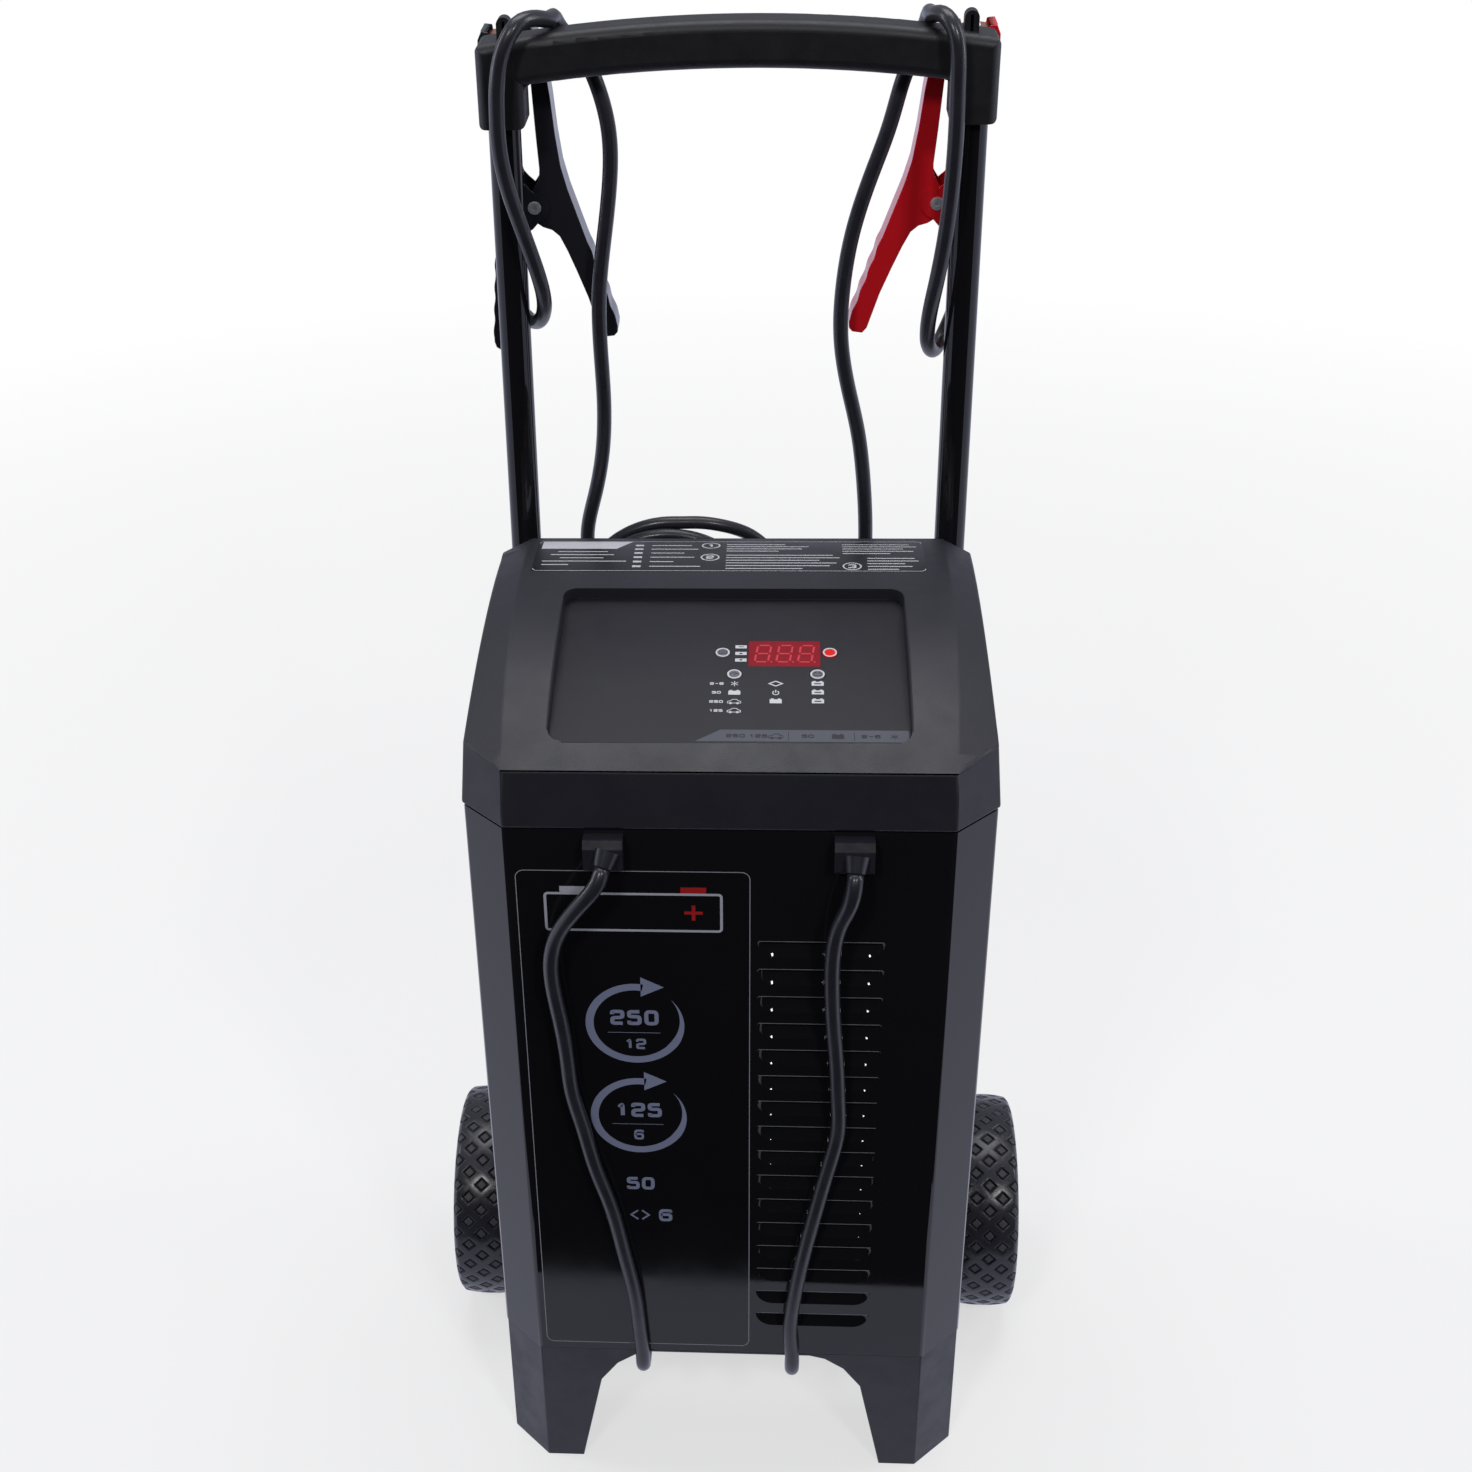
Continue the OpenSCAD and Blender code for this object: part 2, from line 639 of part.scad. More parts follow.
module wheel_spacers() color(steel_grey) placed() for (s = [-1, 1]) {
    gap_in = bracket_x + bracket_t;
    gap_out = wheel_mid - hub_width / 2 - 0.3;
    translate([s * (gap_in + gap_out) / 2, axle_y, axle_z]) difference() {
        rod_x(10, gap_out - gap_in);
        rod_x(axle_d / 2, 60);
    }
}

module tyre(side) {
    translate([side * wheel_mid, axle_y, axle_z]) rotate([0, 90, 0]) rotate_extrude($fn = 128)
        intersection() {
            translate([rim_radius, -tyre_width / 2]) square([wheel_radius - rim_radius + 1, tyre_width]);
            union() {
                translate([rim_radius - 9, 0])
                    round_rect(2 * (wheel_radius - rim_radius + 9), tyre_width, 8);
                translate([rim_radius, -tyre_width / 2]) square([9, tyre_width]);
            }
            translate([wheel_radius - 90, 0]) circle(90, $fn = 256);
        }
}

module hub(side) {
    translate([side * wheel_mid, axle_y, axle_z]) rotate([0, 90, 0]) difference() {
        union() {
            rotate_extrude($fn = 128) {
                translate([rim_radius - 7, -hub_width / 2]) square([7, hub_width]);
                translate([10, -hub_web / 2]) square([rim_radius - 12, hub_web]);
                translate([0, -hub_width / 2]) square([14, hub_width]);
            }
            for (i = [0 : 5]) rotate([0, 0, i * 60])
                translate([12, -2, -hub_width / 2 + 4]) cube([rim_radius - 16, 4, hub_width - 8]);
        }
        cylinder(r = axle_d / 2 + hub_clearance, h = hub_width + 2, center = true);
    }
}

module left_tyre() color(rubber_black) placed() tyre(-1);
module right_tyre() color(rubber_black) placed() tyre(1);
module left_hub() color(charcoal) placed() hub(-1);
module right_hub() color(charcoal) placed() hub(1);

// Push caps that hold the wheels on the axle.
module hub_caps() color(steel_grey) placed() for (s = [-1, 1]) {
    inner = wheel_mid + hub_width / 2 + 0.3;
    translate([s * (inner + 1.2), axle_y, axle_z]) difference() {
        rod_x(10, 2.4);
        translate([-s * 1.2, 0, 0]) rod_x(axle_d / 2, 2.4);
    }
}

// ---- Handle ----

module handle_tube(side) {
    on_tube(side) translate([0, 0, tube_low]) difference() {
        cylinder(r = tube_d / 2, h = tube_high - tube_low);
        translate([0, 0, -1]) cylinder(r = tube_d / 2 - 1.4, h = tube_high - tube_low + 2);
    }
}

module left_tube() color(gloss_black) handle_tube(-1);
module right_tube() color(gloss_black) handle_tube(1);

// Bar of a rounded section bowed upward in the middle, its upper face on the grip's.
module bowed_bar(height, depth) {
    rotate([90, 0, 0]) translate([0, -bow_radius]) rotate([0, 0, 80])
        rotate_extrude(angle = 20, $fn = 720)
            translate([bow_radius + max(0, height - grip_height) / -2, 0])
                round_rect(height, depth, grip_round);
}

// Length of the grip's bar between two distances from the middle, thinner by play.
module grip_length(from, to, play) intersection() {
    translate([0, grip_y, grip_z]) bowed_bar(grip_height - play, grip_depth - play);
    translate([from, 200, 780]) cube([to - from, 120, 120]);
}

module handle_grip() color(charcoal) placed() grip_length(-grip_half, grip_half, 0);

// Front outline of a corner moulding, its outer side towards +X.
module socket_front() {
    intersection() {
        translate([socket_mid, socket_foot + 30]) round_rect(socket_width, 60, 3);
        translate([socket_mid - 20, socket_crest - 50]) round_rect(socket_width + 40, 100, 6);
    }
}

// Sleeve of a corner moulding, which takes the tube and runs on into the grip's bar.
module sleeve() {
    placed() intersection() {
        translate([socket_mid, socket_y, socket_foot - 5]) linear_extrude(65)
            round_rect(socket_width, socket_depth + 0.2, grip_round);
        translate([0, 300, 0]) rotate([90, 0, 0]) linear_extrude(100) socket_front();
        translate([0, socket_y, grip_z]) bowed_bar(120, socket_depth);
    }
    placed() grip_length(grip_half, tube_x, 0.1);
    // Fillet between the bar's underside and the sleeve.
    placed() translate([socket_mid - socket_width / 2, grip_y + 8, fillet_z]) rotate([90, 0, 0])
        linear_extrude(16) difference() {
            translate([-socket_fillet, -socket_fillet])
                square([socket_fillet + 1, socket_fillet + 2]);
            translate([-socket_fillet, -socket_fillet]) circle(socket_fillet);
        }
}

// Corner moulding with the tube's bore, a slotted ear on top and the clamp's parking post.
module handle_socket() {
    difference() {
        union() {
            sleeve();
            placed() translate([128, 265.5, 0]) rotate([90, 0, 0]) linear_extrude(8) {
                translate([-4, 836]) square([8, 19.2]);
                translate([0, 855.2]) circle(4);
            }
            placed() translate([post_x, 268, post_z]) rod_y(post_radius, post_end - 268);
        }
        on_tube(1) cylinder(r = tube_d / 2, h = tube_high);
        placed() translate([127.2, 256.5, 847.5]) cube([1.6, 6, 9.5]);
        placed() translate([post_x, 282, post_z]) rod_y(post_radius - 2, 40);
    }
}

module left_socket() color(charcoal) mirror([1, 0, 0]) handle_socket();
module right_socket() color(charcoal) handle_socket();

// Four saddles that hold the tubes against the cabinet's rear corners.
module tube_saddles() color(satin_black) for (s = [-1, 1], z = saddle_heights) difference() {
    y = tube_y + (z - tube_z) * tan(tube_lean);
    placed() mirror([s < 0 ? 1 : 0, 0, 0]) translate([0, 0, z - 9]) linear_extrude(18) {
        polygon([[104, case_depth], [half - rear_cut, case_depth], [half - 5, case_depth - 15],
            [half - 1.2, y], [tube_x, y + 12], [118, y], [118, 237.5], [104, 237.5]]);
        translate([tube_x, y]) circle(12.6);
    }
    on_tube(s) translate([0, 0, tube_low - 1]) cylinder(r = tube_d / 2, h = 200);
    placed() screw_holes();
}

module screw(r) {
    difference() {
        union() {
            cylinder(r = r, h = 1.8);
            translate([0, 0, -6]) cylinder(r = r / 2, h = 7);
        }
        for (a = [0, 90]) rotate([0, 0, a]) translate([0, 0, 1.6])
            cube([r * 1.2, 0.9, 1.4], center = true);
    }
}

// Pan-head screws of the rear panel and the saddles.
module fixing_screws() color(steel_grey) placed() {
    for (x = [-1, 1], z = screw_heights)
        translate([x * screw_x, case_depth + sheet, z]) rotate([-90, 0, 0]) screw(4);
    for (x = [-1, 1], z = saddle_heights)
        translate([x * saddle_screw_x, 237.5, z]) rotate([-90, 0, 0]) screw(4.5);
}

// ---- Cable outlets ----

// Moulded block on the front face with a short tapered collar that points down the cable.
module battery_relief(x, outlet, turn) {
    difference() {
        union() {
            placed() translate([x, 0, 474]) rotate([90, 0, -90]) translate([0, 0, -10.75])
                linear_extrude(21.5) polygon([[0, 0], [7, 0], [9.5, 2.5], [9.5, 15.2], [7, 19.6],
                    [0, 19.6]]);
            placed() translate([outlet[0], 0, relief_z]) rod_y(relief_plug, 3);
            placed() translate(outlet) rotate(turn) cylinder(r1 = 5.2, r2 = 6.8, h = 9);
        }
        placed() translate([x - 20, sheet + 2, 460]) cube([40, 20, 50]);
    }
}

left_outlet = left_route[0];
right_outlet = right_route[0];

module left_relief() color(rubber_black) battery_relief(-66.75, left_outlet, [-35, 20, 0]);
module right_relief() color(rubber_black) battery_relief(67.35, right_outlet, [-35, 6, 0]);

module left_battery_cable() color(rubber_black) placed()
    swept(left_route, cable_d / 2, 8, [1, 0, 0]);
module right_battery_cable() color(rubber_black) placed()
    swept(right_route, cable_d / 2, 8, [1, 0, 0]);

// ---- Mains lead ----

// Tapered bush through the rear panel, its end face on the lead's first ring.
module mains_relief() color(rubber_black) placed() translate([gland_x, case_depth - 3, gland_z])
    rotate([-90, 0, 0]) {
        cylinder(r = 10, h = 3);
        cylinder(r = 7.9, h = 8);
        translate([0, 0, 4.2]) cylinder(r = 10.5, h = 3.5);
        translate([0, 0, 7]) cylinder(r1 = 8.5, r2 = 5, h = 22);
    }

module mains_lead() color(rubber_black) placed() swept(lead_route, lead_d / 2, 8, [1, 0, 0]);

// The coil winds inward in the back layer and outward again in the front layer.
coil_turns = coil_in + coil_out;
coil_inner = coil_start - coil_pitch * coil_in;
function coil_radius(t) = coil_inner + coil_pitch * abs(t - coil_in);
// Climbs from one layer to the other in the half turn about the spiral's reversal.
function coil_depth(t) =
    let(s = min(1, max(0, 2 * (t - coil_in) + 0.5)))
    coil_back + (coil_front - coil_back) * s * s * (3 - 2 * s);
function coil_point(t) = [
    coil_x + coil_radius(t) * cos(90 + 360 * t),
    coil_depth(t),
    coil_z + coil_radius(t) * sin(90 + 360 * t)
];
coil_count = coil_turns * coil_steps;
coil_end = coil_point(coil_turns);
coil_line = concat([[coil_x + lead_d, coil_back, coil_z + coil_start]],
    [for (i = [0 : coil_count]) coil_point(i / coil_steps)],
    [coil_end - [0, 0, lead_d]]);

module mains_coil() color(rubber_black) placed() swept(coil_line, lead_d / 2, 6, [0, 1, 0]);

tail_start = coil_end - [0, 0, lead_d];
tail_length = 56;
plug_top = tail_start - [0, 0, tail_length];

module mains_tail() color(rubber_black) placed()
    swept([for (i = [0 : 3]) tail_start - [0, 0, tail_length * i / 3]], lead_d / 2, 8, [0, 1, 0]);

// Moulded plug that hangs from the tail, its blades downward.
module mains_plug() color(rubber_black) placed() translate(plug_top) {
    translate([0, 0, -16]) cylinder(r1 = 8, r2 = 4.8, h = 16);
    translate([0, 0, -38]) linear_extrude(24) round_rect(26, 22, 7);
    for (s = [-1, 1]) translate([s * 6.35 - 0.8, -4.5, -55]) cube([1.6, 6.4, 18]);
    translate([0, 6, -57]) cylinder(r = 2.3, h = 20);
}

// Strap round the coil's windings at the bottom.
module cord_tie() color([0.08, 0.08, 0.08]) placed()
    translate([coil_x, (coil_back + coil_front) / 2, coil_z - 46.2]) rotate([0, 90, 0])
        linear_extrude(11, center = true) difference() {
            round_rect(30.6, 20.8, 3);
            round_rect(28.2, 18.4, 1.8);
        }

// Bent strap hook screwed to the rear panel, under the coil's upper windings.
module cord_hook() color(satin_black) placed() translate([coil_x, 0, 0]) rotate([90, 0, 90])
    translate([0, 0, -10]) linear_extrude(20)
        polygon([[233.2, 470], [236, 470], [236, 492], [241.4, 500], [241.4, 524], [262, 524],
            [265, 527], [265, 538], [262.4, 538], [262.4, 527.2], [238.8, 527.2], [238.8, 501.2],
            [233.2, 493]]);

// ---- Battery clamps ----

lever_outer = [[9.5, 101.5], [13.5, 102.5], [16.3, 98], [18.8, 82], [19.2, 62], [18.6, 40],
    [18.9, 22], [20.8, 8], [24.4, -9]];
// Four shallow waves for the fingers, and the rounded end.
lever_waves = [for (i = [0 : 24]) let(t = i / 24, w = 0.35 * (1 - cos(4 * 360 * t)))
    [27.5 + 10.5 * t + 0.98 * w, -24 - 54 * t + 0.19 * w]];
lever_end = [[37.4, -81.5], [35, -83.5]];
lever_inner = [[29, -83.5], [26.8, -80], [23, -58], [18.9, -42], [15.1, -28.4], [11.8, -19],
    [8, -14.8], [3, -12.5], [-1, -9], [-1, 9], [3, 13.5], [5.4, 17], [6.3, 22], [7.4, 41],
    [9.4, 70]];
lever_outline = concat(lever_outer, lever_waves, lever_end, lever_inner);
lever_hollow = [[8, 106], [12.2, 106], [14.9, 97.7], [17.3, 82], [17.7, 62], [17.1, 40],
    [17.4, 22], [19.3, 8], [22.9, -9], [26, -24.3], [36.3, -77], [35.6, -79.2], [22, -90],
    [-20, -60], [-20, 20], [0, 106]];

// One pressed half of a clamp: two cheeks joined by a spine along the outer edge.
module lever_half(width, ear) {
    rotate([90, 0, 0]) difference() {
        union() {
            linear_extrude(width, center = true) polygon(lever_outline);
            cylinder(r = ear, h = width, center = true);
        }
        linear_extrude(width - 2 * clamp_sheet, center = true) polygon(lever_hollow);
        cylinder(r = ear + 1, h = width - 2 * clamp_sheet, center = true);
    }
}

module fixed_half() mirror([1, 0, 0]) difference() {
    lever_half(clamp_width, 9);
    rotate([90, 0, 0]) cylinder(r = 3, h = clamp_width + 2, center = true);
}

module moving_half() difference() {
    lever_half(clamp_width - 2 * clamp_sheet - 0.6, 9);
    rotate([90, 0, 0]) cylinder(r = 3.06, h = clamp_width, center = true);
}

module black_fixed_lever() color(gloss_black) on_clamp(-1, black_tilt) fixed_half();
module red_fixed_lever() color(deep_red) on_clamp(1, red_tilt) fixed_half();
module black_lever() color(gloss_black) on_clamp(-1, black_tilt) moving_half();
module red_lever() color(deep_red) on_clamp(1, red_tilt) moving_half();

// Toothed contact plate inside a jaw.
module jaw_plate() {
    rotate([90, 0, 0]) linear_extrude(14, center = true) polygon(concat(
        [[17.2, 81], [14.8, 97], [12.5, 99.5], [jaw_face, 99.5]],
        [for (i = [0 : 5]) each [[jaw_face + 1.2, 98 - 3.6 * i], [jaw_face, 96.2 - 3.6 * i]]],
        [[jaw_face + 1.2, 76.4]]));
}

// Contact plates of the two fixed jaws and the sleeves that take the cables' ends.
module fixed_jaw_plates() color(copper) {
    for (c = [[-1, black_tilt], [1, red_tilt]]) on_clamp(c[0], c[1]) mirror([1, 0, 0]) jaw_plate();
    placed() translate(left_route[len(left_route) - 1]) cylinder(r = 5.4, h = 9);
    placed() translate(right_route[len(right_route) - 1]) cylinder(r = 5.4, h = 9);
}

module black_jaw_plate() color(copper) on_clamp(-1, black_tilt) jaw_plate();
module red_jaw_plate() color(copper) on_clamp(1, red_tilt) jaw_plate();

module clamp_rivets() color(steel_grey) for (c = [[-1, black_tilt], [1, red_tilt]])
    on_clamp(c[0], c[1]) rotate([90, 0, 0]) {
        cylinder(r = 3, h = clamp_width, center = true);
        // Upset heads, each with a dimple.
        for (s = [-1, 1]) translate([0, 0, s * clamp_width / 2]) scale([1, 1, s]) difference() {
            cylinder(r1 = 4, r2 = 3.4, h = 1.5);
            translate([0, 0, 0.6]) cylinder(r = 1.4, h = 2);
        }
    }

// Torsion spring round the rivet: one leg rests in the fixed half, the other stands free.
spring_r = 5.2;
spring_wire = 0.8;
spring_turns = 5;
spring_steps = 10;
function spring_point(t) = [spring_r * cos(360 * t), 2.3 * t - 5.75, spring_r * sin(360 * t)];
spring_line = concat([[-spring_r - 10, -5.75, 14], [0, -5.75, spring_r]],
    [for (i = [3 : spring_turns * spring_steps - 1]) spring_point(i / spring_steps)],
    [[spring_r, 5.75, 0], [spring_r + 2, 5.75, 14]]);

module clamp_springs() color([0.14, 0.14, 0.15]) for (c = [[-1, black_tilt], [1, red_tilt]])
    on_clamp(c[0], c[1]) swept(spring_line, spring_wire, 6, [0, 1, 0]);

// ---- Least gaps of the wound pieces ----

// Least distance between the surfaces of a wound tube's own turns.
function least_gap(line, skip, d) = min([for (i = [0 : len(line) - 1 - skip])
    min([for (j = [i + skip : len(line) - 1]) norm(line[i] - line[j])])]) - d;
echo(coil_gap = least_gap(coil_line, 8, lead_d));
echo(spring_gap = least_gap(spring_line, 5, 2 * spring_wire));

// ---- The chosen part ----

case_wrapper();
case_floor();
rear_panel();
top_cover();
control_overlay();
display_window();
display_module();
start_button();
readout_button();
rate_button();
battery_button();
indicator_lamps();
control_board();
tact_switches();
transformer_core();
transformer_winding();
transformer_frame();
rectifier_plate();
rectifier_diodes();
fan_frame();
fan_rotor();
circuit_breaker();
start_relay();
foot_bracket();
axle();
axle_brackets();
wheel_spacers();
left_tyre();
right_tyre();
left_hub();
right_hub();
hub_caps();
left_tube();
right_tube();
handle_grip();
left_socket();
right_socket();
tube_saddles();
fixing_screws();
left_relief();
right_relief();
left_battery_cable();
right_battery_cable();
mains_relief();
mains_lead();
mains_coil();
mains_tail();
mains_plug();
cord_tie();
cord_hook();
black_fixed_lever();
red_fixed_lever();
black_lever();
red_lever();
fixed_jaw_plates();
black_jaw_plate();
red_jaw_plate();
clamp_rivets();
clamp_springs();
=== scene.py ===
"""Dressed model of a wheeled battery charger and engine starter.

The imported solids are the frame.  This script gives them their finishes, replaces the tyres, the
cables and the mains lead by fuller surfaces, adds the printed marks and the small trim, and
sets up a plain pale studio.  Everything is in metres: +X to the right seen from the front,
+Y to the back, +Z up, with the origin on the floor.
"""

import logging
import math
from collections.abc import Callable, Iterable, Mapping, Sequence
from dataclasses import dataclass, field
from enum import Enum
from typing import Any

import bmesh
import bpy
import numpy as np
from mathutils import Matrix, Vector
from numpy.typing import NDArray


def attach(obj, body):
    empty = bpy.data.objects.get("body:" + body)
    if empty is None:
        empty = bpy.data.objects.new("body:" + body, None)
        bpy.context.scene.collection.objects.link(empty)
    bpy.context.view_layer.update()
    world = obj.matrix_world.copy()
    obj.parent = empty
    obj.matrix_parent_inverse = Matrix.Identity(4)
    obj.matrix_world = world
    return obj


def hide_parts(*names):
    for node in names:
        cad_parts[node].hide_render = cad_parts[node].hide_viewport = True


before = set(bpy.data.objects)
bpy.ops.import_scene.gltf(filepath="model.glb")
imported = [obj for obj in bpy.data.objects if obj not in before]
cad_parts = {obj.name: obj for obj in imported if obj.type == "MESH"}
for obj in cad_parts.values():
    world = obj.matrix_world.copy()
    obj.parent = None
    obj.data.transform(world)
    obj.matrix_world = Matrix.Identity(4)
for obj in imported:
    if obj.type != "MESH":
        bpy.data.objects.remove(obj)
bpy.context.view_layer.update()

Array = NDArray[np.float64]
Pair = tuple[float, float]
Triple = tuple[float, float, float]
Place = Callable[[Array, Array, Array], Array]
Piece = bpy.types.Object
Tree = bpy.types.NodeTree
Node = bpy.types.Node
Socket = bpy.types.NodeSocket

log = logging.getLogger("charger")

MM = 0.001
PER_METRE = 1000
TAU = 2 * math.pi
# From the cabinet's front face back to the frame's origin.
ORIGIN_DEPTH = 0.144
ORIGIN = (0.0, ORIGIN_DEPTH, 0.0)


class Body(Enum):
    """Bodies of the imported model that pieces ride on."""

    CHARGER = "charger"
    LEFT_WHEEL = "left_wheel"
    RIGHT_WHEEL = "right_wheel"
    START_KEY = "start_key"
    READOUT_KEY = "readout_key"
    RATE_KEY = "rate_key"
    BATTERY_KEY = "battery_key"
    BLACK_LEVER = "black_clamp_lever"
    RED_LEVER = "red_clamp_lever"


# --- Colours and nodes ---


def linear(colour: str) -> tuple[float, float, float, float]:
    """Turn an sRGB hex colour into the linear colour that the shaders take.

    Args:
        colour: A colour such as "#1a1a1c".

    Returns:
        Linear red, green and blue, and an alpha of one.
    """
    parts = [int(colour[i : i + 2], 16) / 255 for i in (1, 3, 5)]
    red, green, blue = (c / 12.92 if c <= 0.04045 else ((c + 0.055) / 1.055) ** 2.4 for c in parts)
    return red, green, blue, 1.0


def empty_tree(owner: bpy.types.Material | bpy.types.World) -> Tree:
    """Turn on the nodes of a material or a world and return its tree, cleared."""
    owner.use_nodes = True
    owner.node_tree.nodes.clear()
    return owner.node_tree


def add_node(tree: Tree, kind: str, inputs: Mapping[Any, Any], **settings: Any) -> Node:
    """Add one node with its settings, its input values and its links.

    Args:
        tree: The node tree that gets the node.
        kind: Blender's identifier of the node, less its ShaderNode prefix.
        inputs: Values, nodes or output sockets, by the input's name or number.
        **settings: Attributes of the node itself.

    Returns:
        The new node.
    """
    made = tree.nodes.new("ShaderNode" + kind)
    for name, value in settings.items():
        setattr(made, name, value)
    for key, value in inputs.items():
        if isinstance(value, bpy.types.Node):
            tree.links.new(value.outputs[0], made.inputs[key])
        elif isinstance(value, bpy.types.NodeSocket):
            tree.links.new(value, made.inputs[key])
        else:
            made.inputs[key].default_value = value
    return made


# Specks of dust in each metre, and their colour.
DUST_SCALE = 900.0
DUST_TONE = "#77777c"


@dataclass(frozen=True)
class Finish:
    """A surface finish: what the maker calls it, and the values that give its look.

    Sizes are in millimetres.  Drift is the width of the slow change of tone over a face, and
    grain is the width of the small relief from the mould or the spray gun.
    """

    title: str
    colour: str
    second: str
    roughness: float
    spread: float
    drift: float
    grain: float
    grain_height: float
    specular: float = 0.5
    metallic: float = 0.0
    coat: float = 0.0
    coat_roughness: float = 0.05
    dust: float = 0.0

    def material(self) -> bpy.types.Material:
        """Return the finish as a material, made once and then shared."""
        known = bpy.data.materials.get(self.title)
        if known is not None:
            return known
        made = bpy.data.materials.new(self.title)
        tree = empty_tree(made)
        shader = self.shader(tree, add_node(tree, "TexCoord", {}).outputs["Object"])
        add_node(tree, "OutputMaterial", {"Surface": shader})
        made.diffuse_color = linear(self.colour)
        return made

    def tone(self, tree: Tree, where: Socket) -> Socket:
        """Mix the two tones by slow noise."""
        inputs = {"Vector": where, "Scale": PER_METRE / self.drift, "Detail": 4.0, "Roughness": 0.6}
        slow = add_node(tree, "TexNoise", inputs)
        tones = {0: slow, 6: linear(self.colour), 7: linear(self.second)}
        return add_node(tree, "Mix", tones, data_type="RGBA").outputs[2]

    def height(self, tree: Tree, where: Socket) -> Node:
        """Height of the grain: fine noise in the size that the process leaves."""
        scale = PER_METRE / self.grain
        return add_node(tree, "TexNoise", {"Vector": where, "Scale": scale, "Detail": 2.0})

    def relief(self, tree: Tree, where: Socket) -> Node:
        """Turn the grain's height into a normal."""
        inputs = {"Height": self.height(tree, where), "Distance": self.grain_height * MM}
        return add_node(tree, "Bump", inputs)

    def shader(self, tree: Tree, where: Socket) -> Node:
        """Build the shader, with a roughness that varies three times as fast as the tone.

        Args:
            tree: The material's node tree.
            where: The object coordinates, in metres.

        Returns:
            The shader node.
        """
        scale = 3 * PER_METRE / self.drift
        inputs = {"Vector": where, "Scale": scale, "Detail": 5.0, "Roughness": 0.65}
        wear = add_node(tree, "TexNoise", inputs)
        low, high = self.roughness - self.spread, self.roughness + self.spread
        limits = {"Value": wear, "From Min": 0.3, "From Max": 0.7, "To Min": low, "To Max": high}
        base = self.tone(tree, where)
        if self.dust > 0:
            base = self.dusted(tree, where, base)
        values = {
            "Base Color": base,
            "Roughness": add_node(tree, "MapRange", limits),
            "Metallic": self.metallic,
            "Coat Weight": self.coat,
            "Coat Roughness": self.coat_roughness,
            "Specular IOR Level": self.specular,
            "Normal": self.relief(tree, where),
        }
        return add_node(tree, "BsdfPrincipled", values)

    def dusted(self, tree: Tree, where: Socket, base: Socket) -> Socket:
        """Lay fine specks of dust on what faces up.

        Args:
            tree: The material's node tree.
            where: The object coordinates.
            base: The clean colour.

        Returns:
            The dusted colour.
        """
        facing = add_node(tree, "NewGeometry", {}).outputs["Normal"]
        upward = add_node(tree, "SeparateXYZ", {0: facing}).outputs["Z"]
        inputs = {"Vector": where, "Scale": DUST_SCALE, "Detail": 3.0, "Roughness": 0.7}
        specks = add_node(tree, "TexNoise", inputs)
        limits = {"Value": upward, "From Min": 0.2, "From Max": 1.0, "To Max": self.dust}
        amount = add_node(tree, "MapRange", limits)
        speckled = add_node(tree, "Math", {0: amount, 1: specks}, operation="MULTIPLY")
        tones = {0: speckled, 6: base, 7: linear(DUST_TONE)}
        return add_node(tree, "Mix", tones, data_type="RGBA").outputs[2]


@dataclass(frozen=True)
class BrushedFinish(Finish):
    """Metal with fine parallel marks from a belt or a rolling mill."""

    streak: Triple = (1.0, 1.0, 12.0)

    def height(self, tree: Tree, where: Socket) -> Node:
        """Height of scratches drawn out along one axis."""
        scale = tuple(PER_METRE / self.grain / s for s in self.streak)
        stretched = add_node(tree, "Mapping", {"Vector": where, "Scale": scale})
        return add_node(tree, "TexNoise", {"Vector": stretched, "Scale": 1.0, "Detail": 3.0})


@dataclass(frozen=True)
class GrainedPlastic(Finish):
    """Moulding with an etched leather-like grain: round cells with narrow valleys."""

    def height(self, tree: Tree, where: Socket) -> Node:
        """Height of the etched cells over a sand 2.4 times as fine."""
        scale = PER_METRE / self.grain
        inputs = {"Vector": where, "Scale": scale}
        cells = add_node(tree, "TexVoronoi", inputs, feature="SMOOTH_F1")
        sand = add_node(tree, "TexNoise", {"Vector": where, "Scale": 2.4 * scale, "Detail": 2.0})
        return add_node(tree, "Math", {0: sand, 1: cells}, operation="SUBTRACT")


# --- Surfaces ---

# Power of the chord in a spline's knots, and its samples for each point.
CHORD_POWER = 0.75
SAMPLES_PER_POINT = 24


def new_mesh(name: str, points: Array, faces: list[list[int]], smooth: bool = True) -> Piece:
    """Put points and faces into a mesh object at the origin.

    Args:
        name: The piece's name.
        points: Vertices, one row each, in metres.
        faces: Vertex numbers of each face, counter-clockwise seen from outside.
        smooth: Whether the faces are shaded smooth.

    Returns:
        The new object, linked to the scene.
    """
    mesh = bpy.data.meshes.new(name)
    mesh.from_pydata(points.tolist(), [], faces)
    mesh.update()
    mesh.polygons.foreach_set("use_smooth", np.full(len(mesh.polygons), smooth))
    made = bpy.data.objects.new(name, mesh)
    bpy.context.scene.collection.objects.link(made)
    return made


def grid_faces(
    rows: int, columns: int, wrap_rows: bool = False, wrap_columns: bool = False
) -> NDArray[np.int64]:
    """Number the quads of a grid of points.

    Args:
        rows: Points along the first parameter.
        columns: Points along the second parameter.
        wrap_rows: Whether the last row joins the first.
        wrap_columns: Whether the last column joins the first.

    Returns:
        Four vertex numbers for each quad.
    """
    i = np.arange(rows if wrap_rows else rows - 1)[:, None]
    j = np.arange(columns if wrap_columns else columns - 1)[None, :]
    i2, j2 = (i + 1) % rows, (j + 1) % columns
    corners = [i * columns + j, i2 * columns + j, i2 * columns + j2, i * columns + j2]
    return np.stack(corners, axis=-1).reshape(-1, 4)


